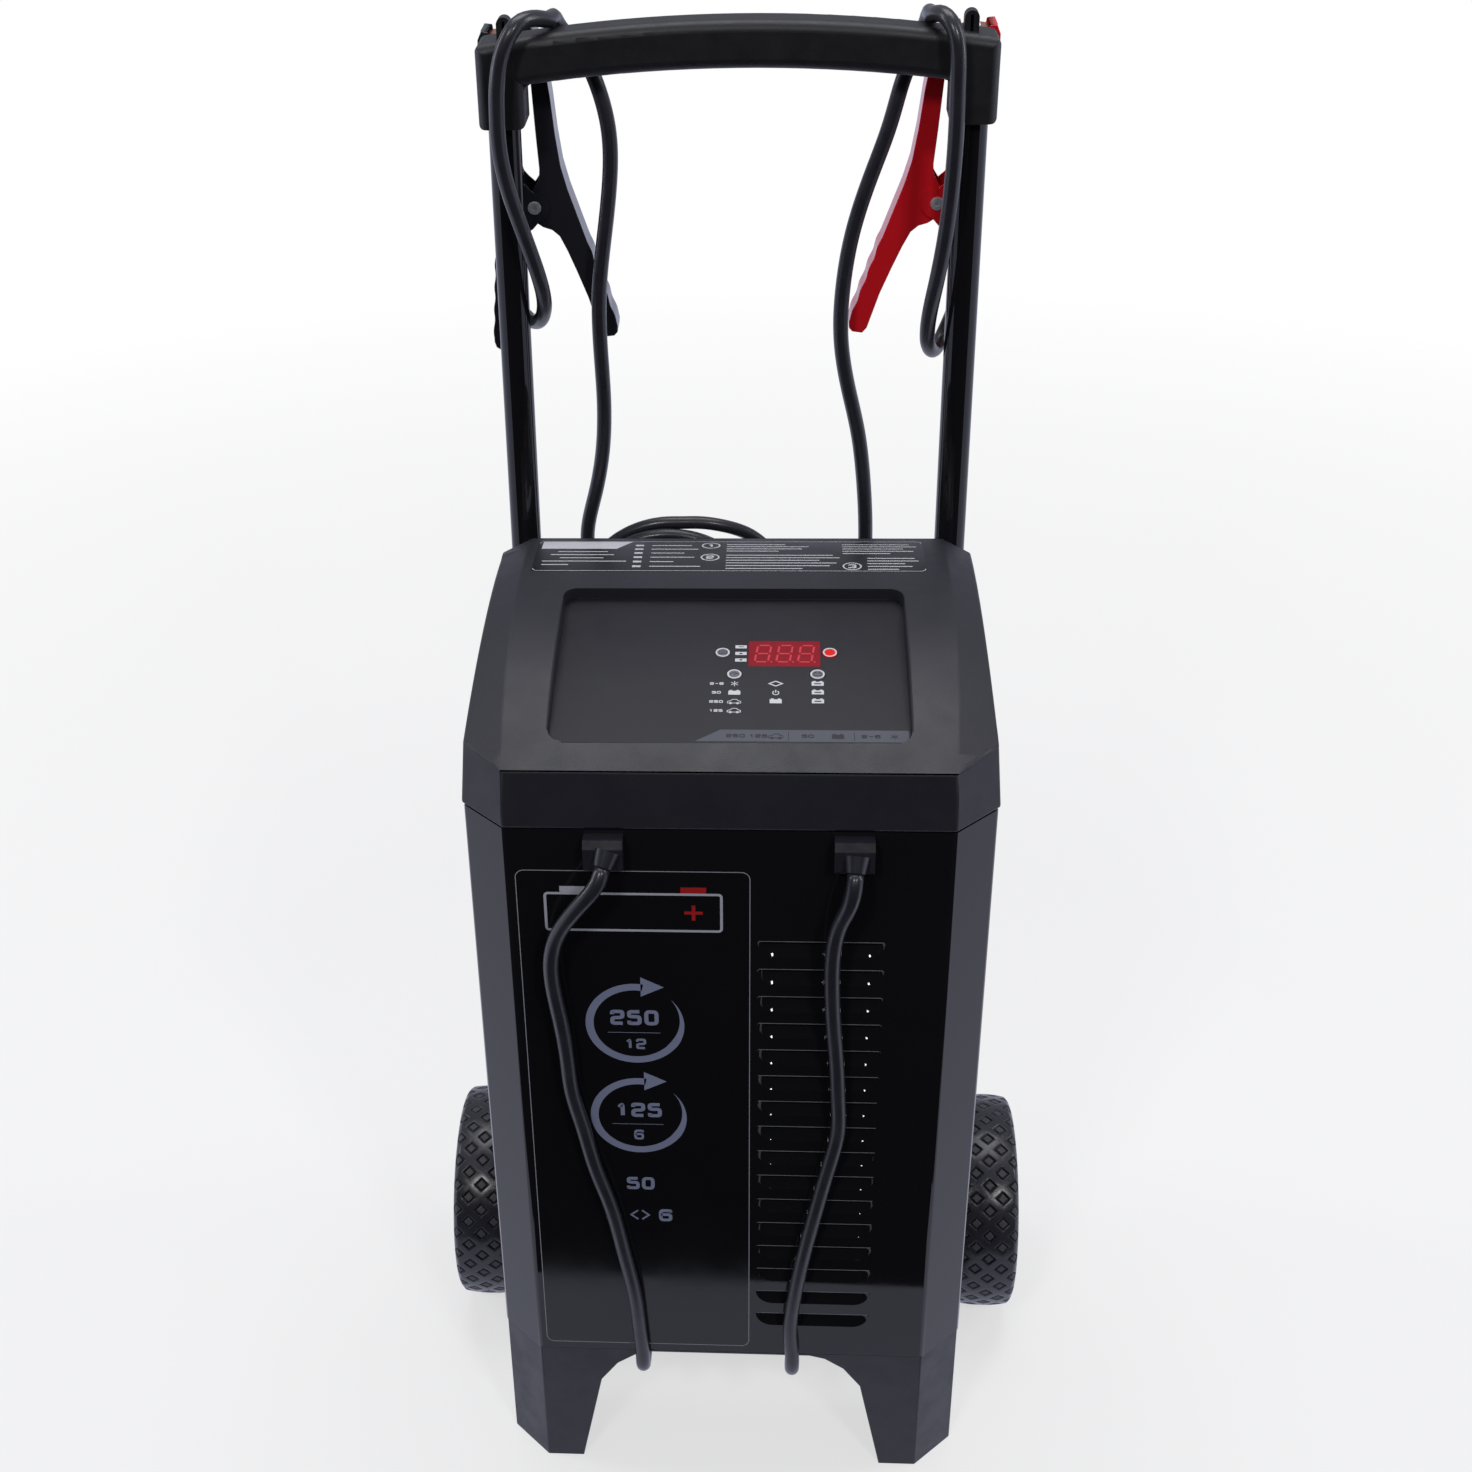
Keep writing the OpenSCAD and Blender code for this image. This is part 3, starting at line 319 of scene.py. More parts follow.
def set_uv(made: Piece, rows: int, columns: int, length: float, girth: float) -> None:
    """Write a UV map in metres along and round a wrapped tube.

    Args:
        made: The tube, its quads first and its end caps last.
        rows: Rings along the tube.
        columns: Points on each ring.
        length: Length of the tube.
        girth: Length once round it.
    """
    i, j = np.meshgrid(np.arange(rows - 1), np.arange(columns), indexing="ij")
    corners = [
        np.stack([(i + di) / (rows - 1) * length, (j + dj) / columns * girth], -1)
        for di, dj in ((0, 0), (1, 0), (1, 1), (0, 1))
    ]
    layer = made.data.uv_layers.new(name="along")
    values = np.zeros((len(made.data.loops), 2))
    values[: 4 * i.size] = np.stack(corners, axis=2).reshape(-1, 2)
    layer.data.foreach_set("uv", values.ravel())


def spline(points: Array, step: float) -> Array:
    """Draw a smooth line through points: a natural cubic spline over powers of the chords.

    The second derivatives solve the usual tridiagonal system, with zero at both ends.

    Args:
        points: The points to pass through, in order.
        step: Distance between the samples.

    Returns:
        Samples an equal chord apart.
    """
    gaps = np.linalg.norm(np.diff(points, axis=0), axis=1) ** CHORD_POWER
    knots = np.concatenate([[0], np.cumsum(gaps)])
    count = len(points)
    matrix = np.eye(count)
    right = np.zeros_like(points)
    inner = np.arange(1, count - 1)
    matrix[inner, inner - 1] = gaps[:-1]
    matrix[inner, inner] = 2 * (gaps[:-1] + gaps[1:])
    matrix[inner, inner + 1] = gaps[1:]
    right[1:-1] = 6 * np.diff(np.diff(points, axis=0) / gaps[:, None], axis=0)
    bends = np.linalg.solve(matrix, right)
    t = np.linspace(0, knots[-1], SAMPLES_PER_POINT * count)
    k = np.clip(np.searchsorted(knots, t, side="right") - 1, 0, count - 2)
    a = ((knots[k + 1] - t) / gaps[k])[:, None]
    b = 1 - a
    h = (gaps[k] ** 2 / 6)[:, None]
    curve = ((a**3 - a) * bends[k] + (b**3 - b) * bends[k + 1]) * h
    return resample(a * points[k] + b * points[k + 1] + curve, step)


def resample(line: Array, step: float) -> Array:
    """Space a line's samples evenly by its arc length."""
    run = np.concatenate([[0], np.cumsum(np.linalg.norm(np.diff(line, axis=0), axis=1))])
    even = np.linspace(0, run[-1], int(round(run[-1] / step)) + 1)
    return np.stack([np.interp(even, run, line[:, axis]) for axis in range(3)], axis=1)


def line_length(line: Array) -> float:
    """Length of a line of points."""
    return float(np.linalg.norm(np.diff(line, axis=0), axis=1).sum())


def moving_frames(line: Array) -> tuple[Array, Array]:
    """Carry a side direction along a line without twist.

    Each side direction is the one before it, less its part along the new tangent.  The first
    one is the closest to X.

    Args:
        line: The centre line.

    Returns:
        Sides and the third direction, one row for each point.
    """
    tangents = np.gradient(line, axis=0)
    tangents /= np.linalg.norm(tangents, axis=1, keepdims=True)
    sides = np.empty_like(line)
    side = np.array([1.0, 0.0, 0.0])
    for n, tangent in enumerate(tangents):
        side = side - tangent * (side @ tangent)
        side /= np.linalg.norm(side)
        sides[n] = side
    return sides, np.cross(tangents, sides)


def swept(name: str, line: Array, radius: float, around: int) -> Piece:
    """Carry a circle along a line and close both ends.

    A point is the centre plus the radius times cos(a) along the side and sin(a) along the third
    direction of the moving frame.

    Args:
        name: The piece's name.
        line: The centre line.
        radius: The tube's radius.
        around: Points on each ring.

    Returns:
        The tube, with a UV map in metres.
    """
    side, third = moving_frames(line)
    angle = np.linspace(0, TAU, around, endpoint=False)[None, :, None]
    points = line[:, None] + radius * (
        np.cos(angle) * side[:, None] + np.sin(angle) * third[:, None]
    )
    rows = len(line)
    quads = grid_faces(rows, around, wrap_columns=True)[:, ::-1]
    ends = [list(range(around))[::-1], [(rows - 1) * around + k for k in range(around)]]
    made = new_mesh(name, points.reshape(-1, 3), quads.tolist() + ends)
    for face in made.data.polygons[-2:]:
        face.use_smooth = False
    set_uv(made, rows, around, line_length(line), TAU * radius)
    turn_out(made)
    return made


def turn_out(made: Piece) -> None:
    """Point a closed mesh's faces outwards."""
    work = bmesh.new()
    work.from_mesh(made.data)
    bmesh.ops.recalc_face_normals(work, faces=work.faces)
    work.to_mesh(made.data)
    work.free()


def dress(made: Piece, finish: Finish, body: Body = Body.CHARGER) -> Piece:
    """Give a piece its finish and its body.

    Args:
        made: The piece.
        finish: Its finish.
        body: The body that it rides on.

    Returns:
        The same piece.
    """
    made.data.materials.clear()
    made.data.materials.append(finish.material())
    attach(made, body.value)
    log.info("%s: %d faces on %s", made.name, len(made.data.polygons), body.value)
    return made


# --- Printed marks ---

# The control panel: its slope, and the depth and height of its front edge in millimetres.
PANEL_SLOPE = math.radians(10)
PANEL_EDGE = (20.8, 535.5)
# The cover's crown is a circle in depth and height: its radius and its middle.
CROWN_RADIUS = 362.1
CROWN_MIDDLE = (156.7, 203.5)
# Points of a ring or a part of one, and of a round corner.
ARC_POINTS = 49
QUARTER_POINTS = 7
# The share of a side that a rounded corner of a figure takes, the points of its arc, and the
# least gap between two of them.
CORNER_SHARE = 0.3
CORNER_POINTS = 5
LEAST_GAP = 1e-6
# The gap between two figures, as a share of the stroke.
FIGURE_GAP = 0.62
# A mitre's least size, the share of a filled outline that is left open in its middle, and the
# least radius of a frame's inner corners.
LEAST_MITRE = 0.4
PINHOLE = 0.02
LEAST_RADIUS = 0.05

# Paths of the plain figures in a unit square.
FIGURES: dict[str, tuple[Pair, ...]] = {
    "0": ((0, 0), (0, 1), (1, 1), (1, 0)),
    "1": ((0.22, 0.74), (0.6, 1), (0.6, 0)),
    "2": ((0, 0.76), (0, 1), (1, 1), (1, 0.5), (0, 0.46), (0, 0), (1, 0)),
    "3": ((0, 0.8), (0, 1), (1, 1), (1, 0.52), (0.35, 0.52), (1, 0.5), (1, 0), (0, 0), (0, 0.2)),
    "5": ((1, 1), (0, 1), (0, 0.58), (1, 0.58), (1, 0), (0, 0), (0, 0.22)),
    "6": ((1, 0.8), (1, 1), (0, 1), (0, 0), (1, 0), (1, 0.57), (0.02, 0.57)),
    "-": ((0.1, 0.5), (0.9, 0.5)),
}


def placed(x: Array, y: Array, z: Array) -> Array:
    """Turn millimetres from the cabinet's front face into points of the frame."""
    return np.stack([x + 0 * y, y, z], axis=-1) * MM - ORIGIN


def front_place(x: Array, z: Array, height: Array) -> Array:
    """Place printed marks on the cabinet's front face: x across and z up, in millimetres."""
    return placed(x, -height, z)


def panel_place(u: Array, v: Array, height: Array) -> Array:
    """Place printed marks on the control panel: u across and v up its slope, in millimetres."""
    along, up = math.cos(PANEL_SLOPE), math.sin(PANEL_SLOPE)
    y = PANEL_EDGE[0] + v * along - height * up
    return placed(u, y, PANEL_EDGE[1] + v * up + height * along)


def crown_place(x: Array, y: Array, height: Array) -> Array:
    """Place printed marks on the cover's convex crown: x across and y back, in millimetres."""
    back = y - CROWN_MIDDLE[0]
    scale = (CROWN_RADIUS + height) / CROWN_RADIUS
    rise = np.sqrt(CROWN_RADIUS**2 - back**2)
    return placed(x, CROWN_MIDDLE[0] + back * scale, CROWN_MIDDLE[1] + rise * scale)


def round_off(path: Array, closed: bool) -> Array:
    """Round the inner corners of a path: each becomes a quadratic arc.

    A corner is replaced by the curve from a share of the way back to a share of the way on, which
    bends towards the corner itself.

    Args:
        path: Corners in order.
        closed: Whether the path comes back to its start.

    Returns:
        The smoothed path.
    """
    start = path + (np.roll(path, 1, axis=0) - path) * CORNER_SHARE
    stop = path + (np.roll(path, -1, axis=0) - path) * CORNER_SHARE
    if not closed:
        start[[0, -1]] = path[[0, -1]]
        stop[[0, -1]] = path[[0, -1]]
    t = np.linspace(0, 1, CORNER_POINTS)[None, :, None]
    arcs = (1 - t) ** 2 * start[:, None] + 2 * t * (1 - t) * path[:, None] + t * t * stop[:, None]
    flat = arcs.reshape(-1, 2)
    apart = np.linalg.norm(np.diff(flat, axis=0), axis=1) > LEAST_GAP
    return flat[np.concatenate([[True], apart])]


def round_outline(left: float, right: float, low: float, high: float, r: float) -> Array:
    """Outline of a rectangle with round corners, counter-clockwise: four quarter circles."""
    quarter = np.radians(np.linspace(0, 90, QUARTER_POINTS))
    left, right, low, high = left + r, right - r, low + r, high - r
    parts = []
    for n, (x, y) in enumerate(((right, high), (left, high), (left, low), (right, low))):
        angle = quarter + n * math.pi / 2
        parts.append(np.stack([x + r * np.cos(angle), y + r * np.sin(angle)], 1))
    return np.concatenate(parts)


@dataclass
class Print:
    """One colour of printed marks, each mark a thin closed plate on its surface.

    A mark is a strip: two edges with the same number of points, between which the ink lies.
    """

    name: str
    place: Place
    low: float
    high: float
    points: list[Array] = field(default_factory=list)
    faces: list[list[int]] = field(default_factory=list)
    count: int = 0

    def strip(self, first: Array, second: Array, closed: bool = False) -> None:
        """Add the ink between two edges.

        Args:
            first: One edge, rows of two coordinates.
            second: The other edge, on the left of the first.
            closed: Whether the strip's ends meet.
        """
        across = np.stack([first, second], axis=1)
        top, bottom = (
            self.place(across[..., 0], across[..., 1], np.full(across.shape[:2], level))
            for level in (self.high, self.low)
        )
        ring = np.stack([top[:, 0], top[:, 1], bottom[:, 1], bottom[:, 0]], axis=1)
        rows = len(ring)
        quads = grid_faces(rows, 4, wrap_rows=closed, wrap_columns=True) + self.count
        self.faces += quads[:, ::-1].tolist()
        if not closed:
            end = self.count + 4 * (rows - 1)
            self.faces += [[self.count + k for k in range(4)], [end + k for k in (3, 2, 1, 0)]]
        self.points.append(ring.reshape(-1, 3))
        self.count += 4 * rows

    def arc(
        self, centre: Pair, inner: float, outer: float, start: float = 0, stop: float = 360
    ) -> None:
        """Add a ring or a part of one, angles in degrees from the right, counter-clockwise."""
        whole = stop - start >= 360
        angle = np.radians(np.linspace(start, stop, ARC_POINTS, endpoint=not whole))
        way = np.stack([np.cos(angle), np.sin(angle)], axis=1)
        self.strip(np.array(centre) + outer * way, np.array(centre) + inner * way, closed=whole)

    def bar(self, left: float, right: float, low: float, high: float, steps: int = 2) -> None:
        """Add a filled rectangle."""
        x = np.linspace(left, right, steps)
        self.strip(np.stack([x, 0 * x + low], 1), np.stack([x, 0 * x + high], 1))

    def bars(self, rows: Iterable[tuple[float, float, float, float]]) -> None:
        """Add filled rectangles, each by its left, right, low and high side."""
        for row in rows:
            self.bar(*row)

    def frame(
        self, left: float, right: float, low: float, high: float, r: float, line: float
    ) -> None:
        """Add the outline of a rectangle with round corners."""
        outer = round_outline(left, right, low, high, r)
        r = max(r - line, LEAST_RADIUS)
        inner = round_outline(left + line, right - line, low + line, high - line, r)
        self.strip(outer, inner, closed=True)

    def shape(self, outline: Array, centre: Pair) -> None:
        """Add a filled outline that its centre sees all of."""
        middle = np.array(centre)
        self.strip(outline, middle + (outline - middle) * PINHOLE, closed=True)

    def stroke(self, points: Sequence[Pair], width: float, closed: bool = False) -> None:
        """Add a line of a given width with mitred corners."""
        line = np.array(points, float)
        before = np.roll(line, 1, axis=0)
        after = np.roll(line, -1, axis=0)
        if not closed:
            before[0] = 2 * line[0] - line[1]
            after[-1] = 2 * line[-1] - line[-2]
        a, b = line - before, after - line
        a /= np.linalg.norm(a, axis=1, keepdims=True)
        b /= np.linalg.norm(b, axis=1, keepdims=True)
        mitre = np.stack([-(a + b)[:, 1], (a + b)[:, 0]], axis=1)
        mitre /= np.maximum(LEAST_MITRE, (mitre * mitre).sum(1, keepdims=True) / 2)
        self.strip(line - mitre * width / 2, line + mitre * width / 2, closed=closed)

    def figures(self, text: str, centre: Pair, height: float, wide: float, bold: float) -> None:
        """Add plain wide figures, drawn as strokes.

        Args:
            text: Digits or a dash.
            centre: The middle of the text.
            height: Height of a figure.
            wide: Width of a figure, as a share of its height.
            bold: Width of the strokes, as a share of the height.
        """
        line = bold * height
        cell = height * wide
        for n, mark in enumerate(text):
            shift = centre[0] + (n - (len(text) - 1) / 2) * (cell + line * FIGURE_GAP)
            path = round_off(np.array(FIGURES[mark], float), mark == "0") - 0.5
            x = shift + path[:, 0] * (cell - line)
            y = centre[1] + path[:, 1] * (height - line)
            self.stroke(np.stack([x, y], 1).tolist(), line, closed=mark == "0")

    def build(self, finish: Finish, slot: str, body: Body = Body.CHARGER) -> Piece:
        """Make the piece that holds all the marks."""
        made = new_mesh(self.name, np.concatenate(self.points), self.faces, smooth=False)
        return dress(made, finish, body)


# --- Finishes ---

# After the two tones: roughness, its spread, drift, grain and grain height in millimetres.

# Mirror-like, with a slow orange peel.
GLOSS_STEEL = Finish(
    "gloss black powder coat", "#141417", "#18181c", 0.05, 0.02, 80, 6.0, 0.004, specular=0.42)
# Etched grain with soft broad highlights.
COVER_ABS = GrainedPlastic(
    "charcoal grained ABS", "#222229", "#282830", 0.46, 0.06, 70, 0.8, 0.05, specular=0.45)
# Printed film with a fine matte texture.
PANEL_FILM = Finish(
    "matte polyester film", "#1a1a20", "#202027", 0.42, 0.05, 50, 0.25, 0.008, specular=0.4)
DECAL_FILM = Finish(
    "clear-coated vinyl film", "#121215", "#161619", 0.12, 0.03, 90, 5.0, 0.004, specular=0.42)
RED_FILTER = Finish(
    "tinted acrylic filter", "#861420", "#981a26", 0.24, 0.04, 20, 2.0, 0.002, specular=0.3)
DIGIT_RED = Finish(
    "lit-through digit segments", "#cf2f3a", "#da3a44", 0.25, 0.04, 10, 1.0, 0.002, coat=0.4)
WHITE_INK = Finish("white screen ink", "#d9d9de", "#c9c9cf", 0.5, 0.08, 12, 0.3, 0.01)
SILVER_INK = Finish("silver screen ink", "#b6b8c1", "#a6a8b2", 0.4, 0.08, 20, 0.3, 0.01)
BLUE_INK = Finish("slate screen ink", "#878da8", "#7b819b", 0.4, 0.08, 30, 0.3, 0.01)
DARK_INK = Finish("dark screen ink", "#17171b", "#1d1d22", 0.45, 0.06, 30, 0.3, 0.01)
START_RED = Finish(
    "red silicone key", "#e21f18", "#ec2a20", 0.35, 0.05, 8, 0.4, 0.01, specular=0.25)
KEY_GREY = Finish("grey silicone key", "#66666e", "#707078", 0.45, 0.05, 8, 0.4, 0.01)
SATIN_STEEL = Finish(
    "satin black paint on steel", "#1a1a20", "#202027", 0.38, 0.08, 50, 0.7, 0.02, dust=0.05)
TYRE_RUBBER = Finish(
    "carbon black tyre rubber", "#111113", "#18181a", 0.42, 0.1, 25, 0.35, 0.03, dust=0.05)
HUB_PLASTIC = Finish("black moulded polypropylene", "#151517", "#1b1b1d", 0.42, 0.06, 30, 0.5, 0.02)
GRIP_RUBBER = GrainedPlastic(
    "black grained polypropylene", "#131318", "#191920", 0.48, 0.06, 45, 0.7, 0.035)
CABLE_PVC = Finish(
    "black flexible PVC jacket", "#212128", "#282830", 0.34, 0.08, 35, 0.9, 0.02,
    coat=0.2, coat_roughness=0.15)
ZINC = BrushedFinish(
    "zinc-plated steel", "#a9adb3", "#bdc0c4", 0.3, 0.1, 15, 0.3, 0.01, metallic=1.0)
COPPER = BrushedFinish(
    "stamped copper", "#b86b45", "#c98059", 0.3, 0.1, 10, 0.3, 0.01, metallic=1.0)
ALUMINIUM = BrushedFinish(
    "mill-finish aluminium", "#b9bbbe", "#c9cbce", 0.35, 0.1, 20, 0.4, 0.01, metallic=1.0)
# Tumbled, so it is light and soft rather than mirror-bright.
RIVET_NICKEL = Finish(
    "nickel-plated rivet", "#c9cbd0", "#b4b6bb", 0.42, 0.08, 6, 0.3, 0.01, metallic=0.55)
SPRING_STEEL = BrushedFinish(
    "oiled spring steel", "#2a2a2d", "#37373a", 0.35, 0.1, 10, 0.3, 0.01, metallic=0.9)
CORE_STEEL = BrushedFinish(
    "varnished steel laminations", "#55565a", "#66676b", 0.45, 0.1, 20, 0.5, 0.05,
    metallic=0.8, streak=(12.0, 1.0, 12.0))
WINDING = BrushedFinish(
    "enamelled copper wire", "#a0521f", "#b8632a", 0.35, 0.1, 20, 1.0, 0.3,
    metallic=0.6, streak=(20.0, 20.0, 1.0))
BOARD = Finish("solder mask over glass epoxy", "#14532d", "#19602f", 0.35, 0.08, 15, 0.6, 0.02)
INNER_PLASTIC = Finish("black glass-filled nylon", "#1a1a1c", "#212123", 0.45, 0.08, 20, 0.5, 0.02)
BLACK_CLAMP = Finish(
    "gloss black enamel on pressed steel", "#202026", "#27272e", 0.18, 0.05, 25, 2.0, 0.01,
    specular=0.45)
RED_CLAMP = Finish(
    "gloss red enamel on pressed steel", "#cf1721", "#da1d27", 0.14, 0.05, 25, 2.0, 0.01,
    specular=0.3)
LAMP_CLEAR = Finish("diffused lamp lens", "#cfcfd4", "#dcdce0", 0.25, 0.05, 5, 0.5, 0.005)
STRAP = Finish("black nylon strap", "#121214", "#1a1a1c", 0.6, 0.1, 10, 0.5, 0.1)
# Pale grey bars that paint the highlight along each louvre's cut edge.
LOUVRE_EDGE_HIGHLIGHT = Finish(
    "painted highlight on louvre edges", "#8e8f97", "#55565c", 0.34, 0.08, 14, 0.5, 0.02)
LINE_INK = Finish("fine grey screen line", "#a2a4ac", "#90929a", 0.4, 0.08, 20, 0.3, 0.01)
SIGN_RED = Finish("red screen ink", "#b5171c", "#a11419", 0.38, 0.06, 20, 0.3, 0.01)
BAND_INK = Finish("slate band ink", "#4d525c", "#464a54", 0.42, 0.06, 30, 0.3, 0.01)
LABEL_FILM = Finish(
    "matte black label film", "#131317", "#18181c", 0.34, 0.05, 50, 0.3, 0.008, specular=0.45)

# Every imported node, by its finish.
FINISHED: tuple[tuple[Finish, str], ...] = (
    (GLOSS_STEEL, "case_wrapper case_floor rear_panel left_tube right_tube"),
    (COVER_ABS, "top_cover"),
    (PANEL_FILM, "control_overlay"),
    (RED_FILTER, "display_window display_module"),
    (START_RED, "start_button"),
    (KEY_GREY, "readout_button rate_button battery_button"),
    (LAMP_CLEAR, "indicator_lamps"),
    (BOARD, "control_board"),
    (INNER_PLASTIC, "tact_switches fan_frame fan_rotor circuit_breaker start_relay"),
    (CORE_STEEL, "transformer_core"),
    (WINDING, "transformer_winding"),
    (ZINC, "transformer_frame rectifier_diodes axle wheel_spacers hub_caps fixing_screws"),
    (RIVET_NICKEL, "clamp_rivets"),
    (ALUMINIUM, "rectifier_plate"),
    (SATIN_STEEL, "foot_bracket axle_brackets tube_saddles cord_hook"),
    (HUB_PLASTIC, "left_hub right_hub"),
    (TYRE_RUBBER, "left_tyre right_tyre"),
    (GRIP_RUBBER, "handle_grip left_socket right_socket"),
    (CABLE_PVC, "left_relief right_relief mains_relief mains_plug left_battery_cable"),
    (CABLE_PVC, "right_battery_cable mains_lead mains_coil mains_tail"),
    (STRAP, "cord_tie"),
    (BLACK_CLAMP, "black_fixed_lever black_lever"),
    (RED_CLAMP, "red_fixed_lever red_lever"),
    (COPPER, "fixed_jaw_plates black_jaw_plate red_jaw_plate"),
    (SPRING_STEEL, "clamp_springs"),
)


def dress_nodes() -> None:
    """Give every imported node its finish."""
    for finish, nodes in FINISHED:
        for node in nodes.split():
            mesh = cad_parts[node].data
            mesh.materials.clear()
            mesh.materials.append(finish.material())


# --- Shells with rolled and moulded edges ---

# Distance within which vertices merge, the turn up to which faces are one, and the turn from
# which an edge is shaded sharp.
MERGE_DISTANCE = 2e-6
FLAT_TURN = math.radians(0.6)
SHARP_TURN = math.radians(30)


@dataclass(frozen=True)
class Edging:
    """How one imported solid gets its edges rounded, in millimetres and degrees."""

    node: str
    name: str
    finish: Finish
    slot: str
    body: Body
    width: float
    limit: float
    least: float

    def build(self) -> None:
        """Copy the solid, merge its loose triangles, round its sharp edges and dress it.

        Only edges that turn by more than the limit and are longer than the least length are
        rounded, so that small cut-outs keep their shape.  The bevel stays live, and weighted
        normals keep the wide faces flat.
        """
        made = bpy.data.objects.new(self.name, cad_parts[self.node].data.copy())
        made.data.name = self.name
        bpy.context.scene.collection.objects.link(made)
        work = bmesh.new()
        work.from_mesh(made.data)
        bmesh.ops.remove_doubles(work, verts=work.verts, dist=MERGE_DISTANCE)
        bmesh.ops.dissolve_limit(
            work, angle_limit=FLAT_TURN, verts=work.verts, edges=work.edges, delimit=set()
        )
        weight = work.edges.layers.float.new("bevel_weight_edge")
        limit = math.radians(self.limit)
        for edge in work.edges:
            turn = edge.calc_face_angle(0.0) if len(edge.link_faces) == 2 else 0.0
            edge.smooth = turn <= SHARP_TURN
            edge[weight] = float(turn > limit and edge.calc_length() > self.least * MM)
        for face in work.faces:
            face.smooth = True
        work.to_mesh(made.data)
        work.free()
        bevel = made.modifiers.new("rounding", "BEVEL")
        bevel.width = self.width * MM
        bevel.segments = 2
        bevel.limit_method = "WEIGHT"
        bevel.use_clamp_overlap = False
        made.modifiers.new("flat faces", "WEIGHTED_NORMAL").keep_sharp = True
        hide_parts(self.node)
        dress(made, self.finish, self.body)


# Node, name, finish, slot, body, width of the rounding, least turn and least length.
SHELLS = (
    Edging("case_wrapper", "cabinet_wrapper", GLOSS_STEEL, "cabinet_paint",
           Body.CHARGER, 1.4, 40, 100.0),
    Edging("top_cover", "cover_moulding", COVER_ABS, "cover_plastic", Body.CHARGER, 1.1, 11, 9.0),
    Edging("foot_bracket", "foot_bracket_rolled", SATIN_STEEL, "bracket_paint",
           Body.CHARGER, 0.6, 30, 8.0),
    Edging("start_button", "start_key_cap", START_RED, "start_red", Body.START_KEY, 0.2, 60, 0.0),
    *(
        Edging(f"{key}_button", f"{key}_key_cap", KEY_GREY, "key_grey", body, 0.2, 60, 0.0)
        for key, body in (
            ("readout", Body.READOUT_KEY), ("rate", Body.RATE_KEY), ("battery", Body.BATTERY_KEY)
        )
    ),
    *(
        Edging(lever, f"{lever}_formed", finish, slot, body, 0.5, 40, 1.2)
        for lever, finish, slot, body in (
            ("black_fixed_lever", BLACK_CLAMP, "clamp_black", Body.CHARGER),
            ("black_lever", BLACK_CLAMP, "clamp_black", Body.BLACK_LEVER),
            ("red_fixed_lever", RED_CLAMP, "clamp_red", Body.CHARGER),
            ("red_lever", RED_CLAMP, "clamp_red", Body.RED_LEVER),
        )
    ),
)


# --- Cords ---

# Points of the centre lines, in tenths of a millimetre from the cabinet's front face.
ROUTE_UNIT = 0.1 * MM
LEFT_ROUTE = (
    (-666, -140, 4810), (-688, -186, 4748), (-760, -195, 4640), (-850, -175, 4510),
    (-935, -140, 4340), (-975, -120, 4150), (-970, -100, 3940), (-945, -90, 3730),
    (-920, -80, 3450), (-905, -70, 3200), (-855, -60, 2930), (-790, -60, 2600), (-710, -60, 2300),
    (-640, -60, 1910), (-585, -60, 1560), (-560, -60, 1210), (-550, -58, 1040), (-550, -50, 960),
    (-550, -15, 900), (-550, 60, 860), (-550, 260, 845), (-550, 600, 830), (-560, 1000, 820),
    (-580, 1400, 835), (-600, 1740, 846), (-620, 2080, 838), (-640, 2340, 850), (-640, 2530, 910),
    (-640, 2650, 1040), (-640, 2700, 1220), (-630, 2700, 1600), (-610, 2700, 2200),
    (-590, 2700, 2900), (-600, 2700, 3500), (-660, 2700, 4100), (-780, 2700, 4620),
    (-900, 2700, 5060), (-945, 2700, 5420), (-890, 2700, 5680), (-830, 2700, 5980),
    (-810, 2700, 6330), (-820, 2710, 6660), (-815, 2720, 7000), (-775, 2730, 7320),
    (-730, 2750, 7690), (-735, 2765, 7950), (-800, 2784, 8200), (-880, 2790, 8360),
    (-945, 2787, 8440), (-980, 2776, 8486), (-998, 2753, 8523), (-1006, 2736, 8546),
    (-1013, 2706, 8565), (-1033, 2620, 8570), (-1084, 2520, 8596), (-1150, 2435, 8603),
    (-1190, 2390, 8584), (-1228, 2365, 8533), (-1266, 2358, 8455), (-1289, 2358, 8375),
    (-1308, 2360, 8256), (-1316, 2367, 8120), (-1318, 2380, 7960), (-1290, 2400, 7730),
    (-1235, 2410, 7520), (-1175, 2430, 7310), (-1130, 2470, 7110), (-1130, 2560, 6950),
    (-1170, 2680, 6835), (-1220, 2790, 6785), (-1280, 2880, 6785), (-1335, 2930, 6845),
    (-1360, 2940, 6940), (-1360, 2940, 7070), (-1360, 2940, 7160),
)
